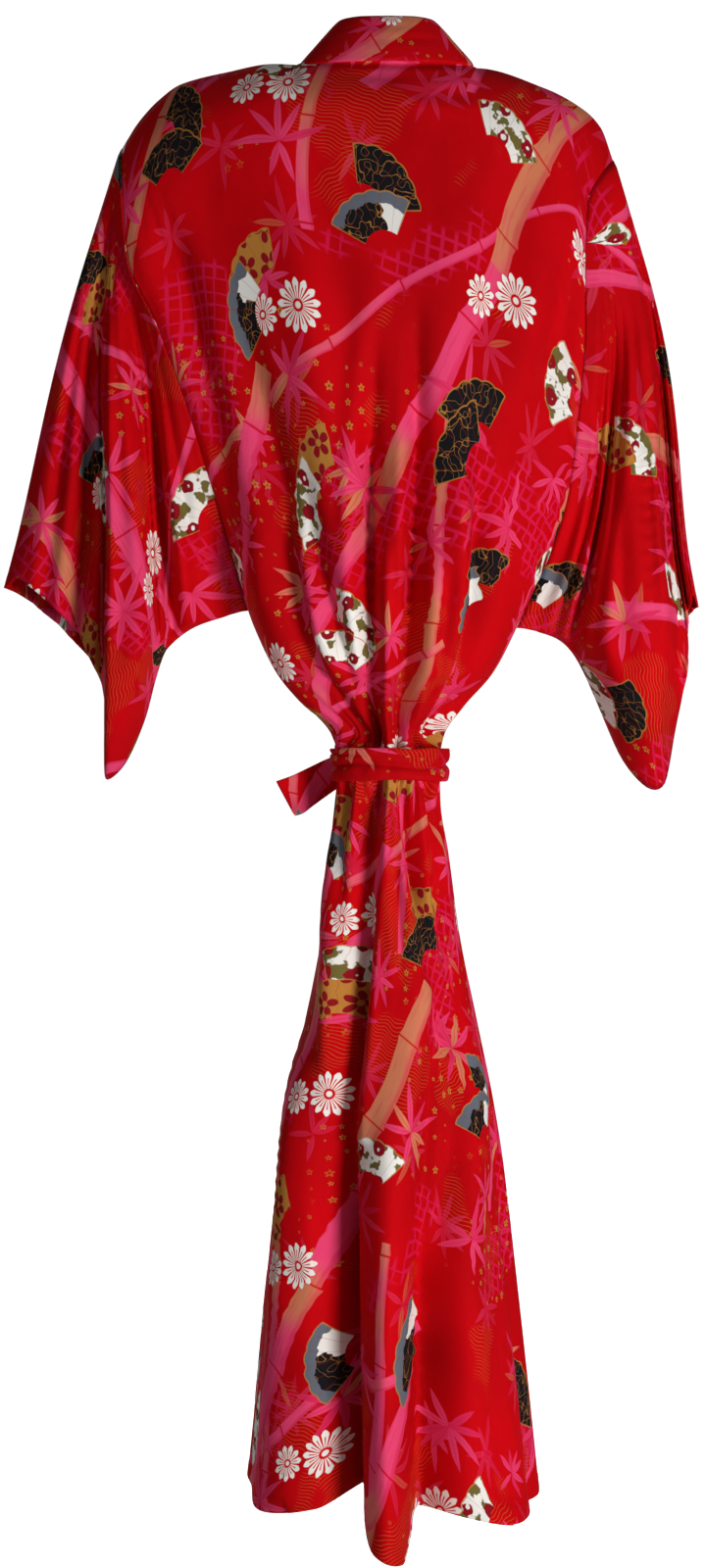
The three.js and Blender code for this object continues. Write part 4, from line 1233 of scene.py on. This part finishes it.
@dataclass(frozen=True)
class PrintedCotton:
    """Soft cotton with a bright red ground and a print of bamboo, open fans and blossoms, laid out anew.

    All is worked out from the place on the flat cloth, so the print bends and gathers with it.
    """

    ground: Colour = (0.56, 0.0005, 0.004)
    ground_deep: Colour = (0.44, 0.0005, 0.003)
    pink: Colour = (0.76, 0.055, 0.16)
    rose: Colour = (0.64, 0.020, 0.085)
    tan: Colour = (0.60, 0.19, 0.095)
    gold: Colour = (0.46, 0.19, 0.035)
    magenta: Colour = (0.62, 0.008, 0.060)
    white: Colour = (0.80, 0.77, 0.72)
    black: Colour = (0.008, 0.008, 0.010)
    slate: Colour = (0.12, 0.13, 0.16)
    olive: Colour = (0.15, 0.12, 0.03)
    wine: Colour = (0.26, 0.006, 0.012)

    def build(self) -> bpy.types.Material:
        """Makes the material."""
        material = bpy.data.materials.new("printed cotton")
        material.use_nodes = True
        nodes = Nodes(material)
        place = nodes.add("ShaderNodeUVMap", uv_map="cloth")
        x, y, _ = nodes.parts(place.outputs[0])
        clouds = nodes.noise(x, y, 6.0, 1.0, 4.0)
        colour = nodes.mix(nodes.span(clouds, 0.35, 0.65), self.ground_deep, self.ground)
        colour = self.fine_lines(nodes, x, y, colour, 12.0, 0.35)
        colour = self.fine_lines(nodes, x, y, colour, 41.0, -0.5)
        colour = self.lattice(nodes, x, y, colour)
        colour = self.leaves(nodes, x, y, colour, 0.090, 0.041, 0.62, 33.0, 0.9, 0.35)
        colour = self.blossoms(nodes, x, y, colour)
        colour = self.stalks(nodes, x, y, colour, 0.10, 0.170, 0.0048, 21.0, 0.62)
        colour = self.stalks(nodes, x, y, colour, 1.12, 0.210, 0.0042, 22.0, 0.45)
        colour = self.leaves(nodes, x, y, colour, 0.112, 0.040, 0.55, 31.0, 0.4)
        colour = self.stalks(nodes, x, y, colour, 0.56, 0.160, 0.0098, 23.0, 0.80)
        colour = self.leaves(nodes, x, y, colour, 0.125, 0.050, 0.70, 32.0, -0.7)
        colour = self.flowers(nodes, x, y, colour)
        colour = self.fans(nodes, x, y, colour)
        shader = material.node_tree.nodes["Principled BSDF"]
        nodes.feed(shader.inputs["Base Color"], colour)
        shader.inputs["Roughness"].default_value = 0.8
        shader.inputs["Specular IOR Level"].default_value = 0.05
        weave = nodes.noise(x, y, 900.0, 3.0, 2.0) * 0.5 + nodes.noise(x, y, 120.0, 4.0, 3.0)
        bump = nodes.add("ShaderNodeBump")
        bump.inputs["Strength"].default_value = 0.25
        bump.inputs["Distance"].default_value = 0.0008
        nodes.feed(bump.inputs["Height"], weave)
        nodes.feed(shader.inputs["Normal"], bump.outputs[0])
        return material

    def turned(self, x: Field, y: Field, angle: float) -> tuple[Field, Field]:
        """The same place on a grid that is turned by an angle."""
        c, s = math.cos(angle), math.sin(angle)
        return x * c - y * s, x * s + y * c

    def cell(self, nodes: Nodes, x: Field, y: Field, side: float, room: float, seed: float) -> Cell:
        """Finds the field of the grid that a place lies in.

        Args:
            nodes: The material's nodes.
            x: The place across the cloth, in metres.
            y: The place along the cloth, in metres.
            side: The side of a field, in metres.
            room: How far a motif's centre may lie from the field's middle, in metres.
            seed: Picks other chance numbers.

        Returns:
            The field, with the place measured from its motif's centre.
        """
        across, down = (x / side).floor(), (y / side).floor()
        first, second, third = nodes.chance(across, down, seed)
        middle_x = (across + 0.5) * side + (first - 0.5) * (2 * room)
        middle_y = (down + 0.5) * side + (second - 0.5) * (2 * room)
        return Cell(x - middle_x, y - middle_y, across, down, (first, second, third))

    def fine_lines(
        self, nodes: Nodes, x: Field, y: Field, colour: object, seed: float, angle: float
    ) -> object:
        """Patches of fine wavy lines in dull gold."""
        across, along = self.turned(x, y, angle)
        patch = nodes.span(nodes.noise(x, y, 8.5, seed), 0.61, 0.635)
        wave = (across * 260.0).sine() * 0.0011 + nodes.noise(across, along, 22.0, seed + 1) * 0.012
        line = ((along + wave) / 0.0034).part() - 0.5
        return nodes.mix(line.size().below(0.07, 0.05) * patch * 0.40, colour, self.gold)

    def lattice(self, nodes: Nodes, x: Field, y: Field, colour: object) -> object:
        """Patches of a magenta lattice with broken bars."""
        across, along = self.turned(x, y, 0.32)
        patch = nodes.span(nodes.noise(x, y, 7.0, 51.0), 0.575, 0.605)
        wide, long = across / 0.0125, along / 0.0105
        first, second, _ = nodes.chance(wide.floor(), long.floor(), 52.0)
        upright = (wide.part() - 0.5).size().above(0.36, 0.04) * first.above(0.18, SHARP)
        level = (long.part() - 0.5).size().above(0.37, 0.04) * second.above(0.18, SHARP)
        bars = nodes.math("MAXIMUM", upright, level)
        return nodes.mix(bars * patch * 0.85, colour, self.magenta)

    def blossoms(self, nodes: Nodes, x: Field, y: Field, colour: object) -> object:
        """Drifts of tiny gold blossoms and dots."""
        patch = nodes.span(nodes.noise(x, y, 7.5, 61.0), 0.52, 0.58)
        cell = self.cell(nodes, x, y, 0.0145, 0.0030, 62.0)
        radius, angle = cell.polar(nodes)
        reach = nodes.math("ADD", cell.chance[2] * 0.0030, 0.0010)
        petals = reach * ((angle * 5.0).cosine() * 0.24 + 0.76)
        present = cell.chance[0].below(0.62, SHARP)
        heart = radius.above(reach * 0.28, 0.0002)
        return nodes.mix(radius.below(petals, 0.0003) * heart * present * patch * 0.9, colour, self.gold)

    def stalks(
        self,
        nodes: Nodes,
        x: Field,
        y: Field,
        colour: object,
        lean: float,
        apart: float,
        half: float,
        seed: float,
        share: float,
    ) -> object:
        """Long bamboo stalks that lean one way, with joints, in pink that turns to tan.

        Args:
            nodes: The material's nodes.
            x: The place across the cloth, in metres.
            y: The place along the cloth, in metres.
            colour: What lies below.
            lean: The angle to the cloth's length, in radians.
            apart: How far apart they stand, in metres.
            half: Half of their width, in metres.
            seed: Picks other chance numbers.
            share: Which share of their length is printed.

        Returns:
            The colour with the stalks on it.
        """
        across, along = self.turned(x, y, lean)
        across = across + nodes.noise(x, y, 2.6, seed) * 0.12
        stripe = (across / apart).floor()
        first, second, third = nodes.chance(stripe, 0.0, seed)
        sideways = across - (stripe + 0.5) * apart - (first - 0.5) * (apart * 0.5)
        joints = along / 0.088 + second * 7.0
        _, present, tint = nodes.chance(stripe, (joints * 0.34).floor(), seed + 1)
        step = nodes.chance(stripe, joints.floor(), seed + 2)[0]
        sideways = sideways + (step - 0.5) * (half * 0.4)
        near_joint = (joints.part() - 0.5).size()
        width = (third * 0.45 + 0.75) * half * (nodes.span(near_joint, 0.40, 0.5) * 0.14 + 1.0)
        inside = sideways.size().below(width, 0.0005) * present.below(share, SHARP)
        drift = nodes.noise(x, y, 5.5, seed + 3) + (tint - 0.5) * 0.16
        tone = nodes.mix(nodes.span(drift, 0.50, 0.64), self.pink, self.tan)
        streak = nodes.noise(sideways * 14.0, along, 26.0, seed + 4)
        tone = nodes.mix(nodes.span(streak, 0.50, 0.72) * 0.40, tone, self.rose)
        tone = nodes.mix((sideways / width).above(0.55, 0.2) * 0.5, tone, self.magenta)
        tone = nodes.mix(near_joint.above(0.489, 0.006) * 0.9, tone, self.ground)
        return nodes.mix(inside * 0.96, colour, tone)

    def leaves(
        self,
        nodes: Nodes,
        x: Field,
        y: Field,
        colour: object,
        side: float,
        reach: float,
        share: float,
        seed: float,
        angle: float,
        strength: float = 0.95,
    ) -> object:
        """Stars of narrow pointed bamboo leaves.

        Args:
            nodes: The material's nodes.
            x: The place across the cloth, in metres.
            y: The place along the cloth, in metres.
            colour: What lies below.
            side: The side of the grid's fields, in metres.
            reach: The length of the longest leaf, in metres.
            share: Which share of the fields holds a star.
            seed: Picks other chance numbers.
            angle: How far the grid is turned, in radians.
            strength: How strongly they cover what lies below.

        Returns:
            The colour with the leaves on it.
        """
        leaves = 9.0
        across, along = self.turned(x, y, angle)
        cell = self.cell(nodes, across, along, side, side / 2 - reach, seed)
        radius, around = cell.polar(nodes, cell.chance[2] * math.tau)
        sector = around * (leaves / math.tau)
        which = nodes.math("FLOORED_MODULO", sector.floor(), leaves)
        long, bent, tint = nodes.chance(which, cell.across + cell.down * 17.0, seed + 1)
        length = (long * 0.55 + 0.45) * reach
        run = nodes.math("MINIMUM", radius / length, 1.0)
        aside = (sector.part() - 0.5) * (math.tau / leaves) * radius + (bent - 0.5) * 0.22 * run * radius
        width = run.power(0.75) * nodes.math("SUBTRACT", 1.0, run) * (reach * 0.23)
        present = cell.chance[0].below(share, SHARP) * long.above(0.16, SHARP)
        inside = aside.size().below(width, 0.0003) * radius.below(length, 0.0003) * present
        tone = nodes.mix(tint, self.rose, self.pink)
        tone = nodes.mix(nodes.span(tint, 0.86, 0.90), tone, self.tan)
        tone = nodes.mix(aside.size().below(0.0005, 0.0003) * 0.5, tone, self.magenta)
        return nodes.mix(inside * strength, colour, tone)

    def flowers(self, nodes: Nodes, x: Field, y: Field, colour: object) -> object:
        """Pairs of white chrysanthemums with slit petals."""
        across, along = self.turned(x, y, 0.22)
        cell = self.cell(nodes, across, along, 0.185, 0.045, 71.0)
        present = cell.chance[2].below(0.60, SHARP)
        for reach, place, petals in ((0.0215, (0.014, 0.004), 13.0), (0.0165, (-0.024, -0.008), 11.0)):
            flower = Cell(cell.x - place[0], cell.y - place[1], cell.across, cell.down, cell.chance)
            radius, around = flower.polar(nodes, cell.chance[0] * 2.0)
            aside = ((around * (petals / math.tau)).part() - 0.5).size()
            run = radius / reach
            rim = (aside * math.tau).cosine() * 0.10 + 0.90
            petal = run.below(rim, 0.02) * run.above(0.24, 0.02) * aside.below(0.37, 0.04)
            slit = aside.below(0.085, 0.03) * run.below(0.70, 0.04)
            heart = run.below(0.13, 0.02)
            inside = nodes.math("MAXIMUM", petal - petal * slit, heart)
            ground = run.below(rim, 0.02) * present
            colour = nodes.mix(ground, colour, self.ground)
            colour = nodes.mix(inside * present, colour, self.white)
        return colour

    def fans(self, nodes: Nodes, x: Field, y: Field, colour: object) -> object:
        """Open fans, single and in overlapping pairs, each in one of four colourings."""
        across, along = self.turned(x, y, -0.36)
        cell = self.cell(nodes, across, along, 0.158, 0.022, 81.0)
        lines = (nodes.noise(x, y, 105.0, 82.0, 0.0) - 0.5).size().below(0.010, 0.008)
        curls = (nodes.noise(x, y, 64.0, 83.0, 1.0) - 0.44).size().below(0.008, 0.006)
        tufts = nodes.noise(x, y, 70.0, 84.0, 2.0)
        sprig = self.cell(nodes, x, y, 0.0270, 0.0015, 85.0)
        radius, around = sprig.polar(nodes, sprig.chance[2] * 6.0)
        petals = (around * 2.5).cosine().size().power(0.55) * 0.0122
        bloom = radius.below(petals, 0.0003) * radius.above(0.0030, 0.0003)
        peony = radius.below(tufts * 0.0135, 0.0004) * (radius + tufts * 0.011).above(0.0068, 0.0003)
        styles = [
            nodes.mix(nodes.math("MAXIMUM", lines * 0.55, curls * 0.8), self.black, self.gold),
            nodes.mix(bloom, self.gold, self.wine),
            nodes.mix(peony, nodes.mix(tufts.above(0.53, 0.02), self.white, self.olive), self.wine),
        ]
        pair = (((0.014, 0.006), 0.35, 0.50), ((-0.010, -0.016), -0.25, 0.88))
        for number, (place, turn, share) in enumerate(pair):
            first, second, third = nodes.chance(cell.across, cell.down, 86.0 + number)
            present = first.below(share, SHARP)
            angle = (cell.chance[2] - 0.5) * 2.2 + (second - 0.5) * 0.7 + turn
            c, s = angle.cosine(), angle.sine()
            aside, up = cell.x - place[0], cell.y - place[1]
            fan_x = aside * c - up * s
            fan_y = aside * s + up * c + 0.032
            radius = (fan_x * fan_x + fan_y * fan_y).power(0.5)
            around = nodes.math("ARCTAN2", fan_x, fan_y)
            scallop = (around * 10.5).sine().size() * 0.0016
            spread = around.size()
            rim = scallop + 0.0520
            inside = radius.below(rim, 0.0003) * radius.above(0.0215, 0.0003) * spread.below(0.84, 0.008)
            edge = nodes.math("MAXIMUM", radius.above(rim - 0.0012, 0.0003), spread.above(0.815, 0.008))
            tone = nodes.mix(third.above(0.26, SHARP), styles[0], styles[1])
            tone = nodes.mix(third.above(0.58, SHARP), tone, styles[2])
            wavy = radius + (tufts - 0.5) * 0.016
            slate = nodes.mix(wavy.above(0.0425, 0.0004), styles[0], self.slate)
            patch = (around + tufts * 0.8).above(0.68, 0.01) * wavy.below(0.043, 0.0004)
            slate = nodes.mix(patch, slate, self.white)
            tone = nodes.mix(third.above(0.82, SHARP), tone, slate)
            rib = ((around * 10.5 / math.pi).part() - 0.5).size().above(0.465, 0.02)
            tone = nodes.mix(rib * 0.25, tone, self.wine)
            tone = nodes.mix(edge * 0.8, tone, self.gold)
            colour = nodes.mix(inside * present, colour, tone)
        return colour


@dataclass
class Studio:
    """A plain pale floor, soft light from all round and a camera at the photo's angle."""

    floor_z: float = -1.40
    frame_height: float = 1.44
    distance: float = 3.3
    look_at: tuple[float, float, float] = (-0.032, -0.06, -0.657)
    sensor: float = 36.0
    floor_glow: float = 1.05
    surround: float = 0.12
    backdrop: float = 1.05
    lamps: tuple[tuple[str, tuple[float, float, float], float, float], ...] = (
        ("key", (1.4, -2.0, -0.95), 0.7, 47.0),
        ("fill", (-1.3, -2.2, -1.0), 1.8, 6.5),
        ("top", (0.2, 0.4, 2.3), 2.4, 4.0),
        ("behind", (-0.6, 3.0, 0.2), 2.6, 40.0),
    )

    def build(self) -> None:
        """Makes the floor, the lights and the camera."""
        self.floor()
        self.background()
        for name, place, size, power in self.lamps:
            self.light(name, place, size, power)
        self.camera()
        bpy.context.scene.view_settings.view_transform = "Standard"

    def floor(self) -> None:
        """The floor, just below the hem."""
        bpy.ops.object.select_all(action="DESELECT")
        bpy.ops.mesh.primitive_plane_add(size=60.0, location=(0, 0, self.floor_z))
        floor = bpy.context.object
        floor.name = "floor"
        material = bpy.data.materials.new("pale floor")
        material.use_nodes = True
        shader = material.node_tree.nodes["Principled BSDF"]
        shader.inputs["Base Color"].default_value = (0.9, 0.9, 0.9, 1)
        shader.inputs["Roughness"].default_value = 0.9
        shader.inputs["Emission Color"].default_value = (1, 1, 1, 1)
        tree = material.node_tree
        path = tree.nodes.new("ShaderNodeLightPath")
        glow = tree.nodes.new("ShaderNodeMath")
        glow.operation = "MULTIPLY"
        glow.inputs[1].default_value = self.floor_glow
        tree.links.new(path.outputs["Is Camera Ray"], glow.inputs[0])
        tree.links.new(glow.outputs[0], shader.inputs["Emission Strength"])
        floor.data.materials.append(material)

    def background(self) -> None:
        """A pale surround that lights the cloth evenly."""
        world = bpy.data.worlds.new("pale studio")
        world.use_nodes = True
        sky = world.node_tree.nodes["Background"]
        sky.inputs["Color"].default_value = (1, 1, 1, 1)
        path = world.node_tree.nodes.new("ShaderNodeLightPath")
        strength = world.node_tree.nodes.new("ShaderNodeMapRange")
        strength.inputs["To Min"].default_value = self.surround
        strength.inputs["To Max"].default_value = self.backdrop
        world.node_tree.links.new(path.outputs["Is Camera Ray"], strength.inputs["Value"])
        world.node_tree.links.new(strength.outputs[0], sky.inputs["Strength"])
        bpy.context.scene.world = world

    def light(self, name: str, place: tuple[float, float, float], size: float, power: float) -> None:
        """A large soft light that points at the middle of the robe.

        Args:
            name: What it is called.
            place: Where it stands, in metres.
            size: The length of its side, in metres.
            power: Its power, in watts.
        """
        data = bpy.data.lights.new(name, "AREA")
        data.size = size
        data.energy = power
        lamp = bpy.data.objects.new(name, data)
        lamp.location = place
        aim = Vector(self.look_at) - Vector(place)
        lamp.rotation_euler = aim.to_track_quat("-Z", "Y").to_euler()
        bpy.context.scene.collection.objects.link(lamp)

    def camera(self) -> None:
        """The camera, level with the middle of the robe and square to its back."""
        data = bpy.data.cameras.new("camera")
        data.sensor_width = self.sensor
        data.lens = self.sensor * self.distance / self.frame_height
        camera = bpy.data.objects.new("camera", data)
        x, y, z = self.look_at
        camera.location = (x, y - self.distance, z)
        camera.rotation_euler = (math.pi / 2, 0, 0)
        bpy.context.scene.collection.objects.link(camera)
        bpy.context.scene.camera = camera


def main() -> None:
    """Builds the robe piece by piece, then the studio."""
    logging.basicConfig(level=logging.INFO, format="%(name)s: %(message)s")
    cloth = PrintedCotton().build()
    body = Body()
    body.back(cloth)
    for side in Side:
        body.front(side, cloth)
        body.overlap(side, cloth)
        Sleeve(side).build(cloth)
    Collar().build(cloth)
    Belt().build(cloth)
    Studio().build()


if __name__ == "__main__":
    main()
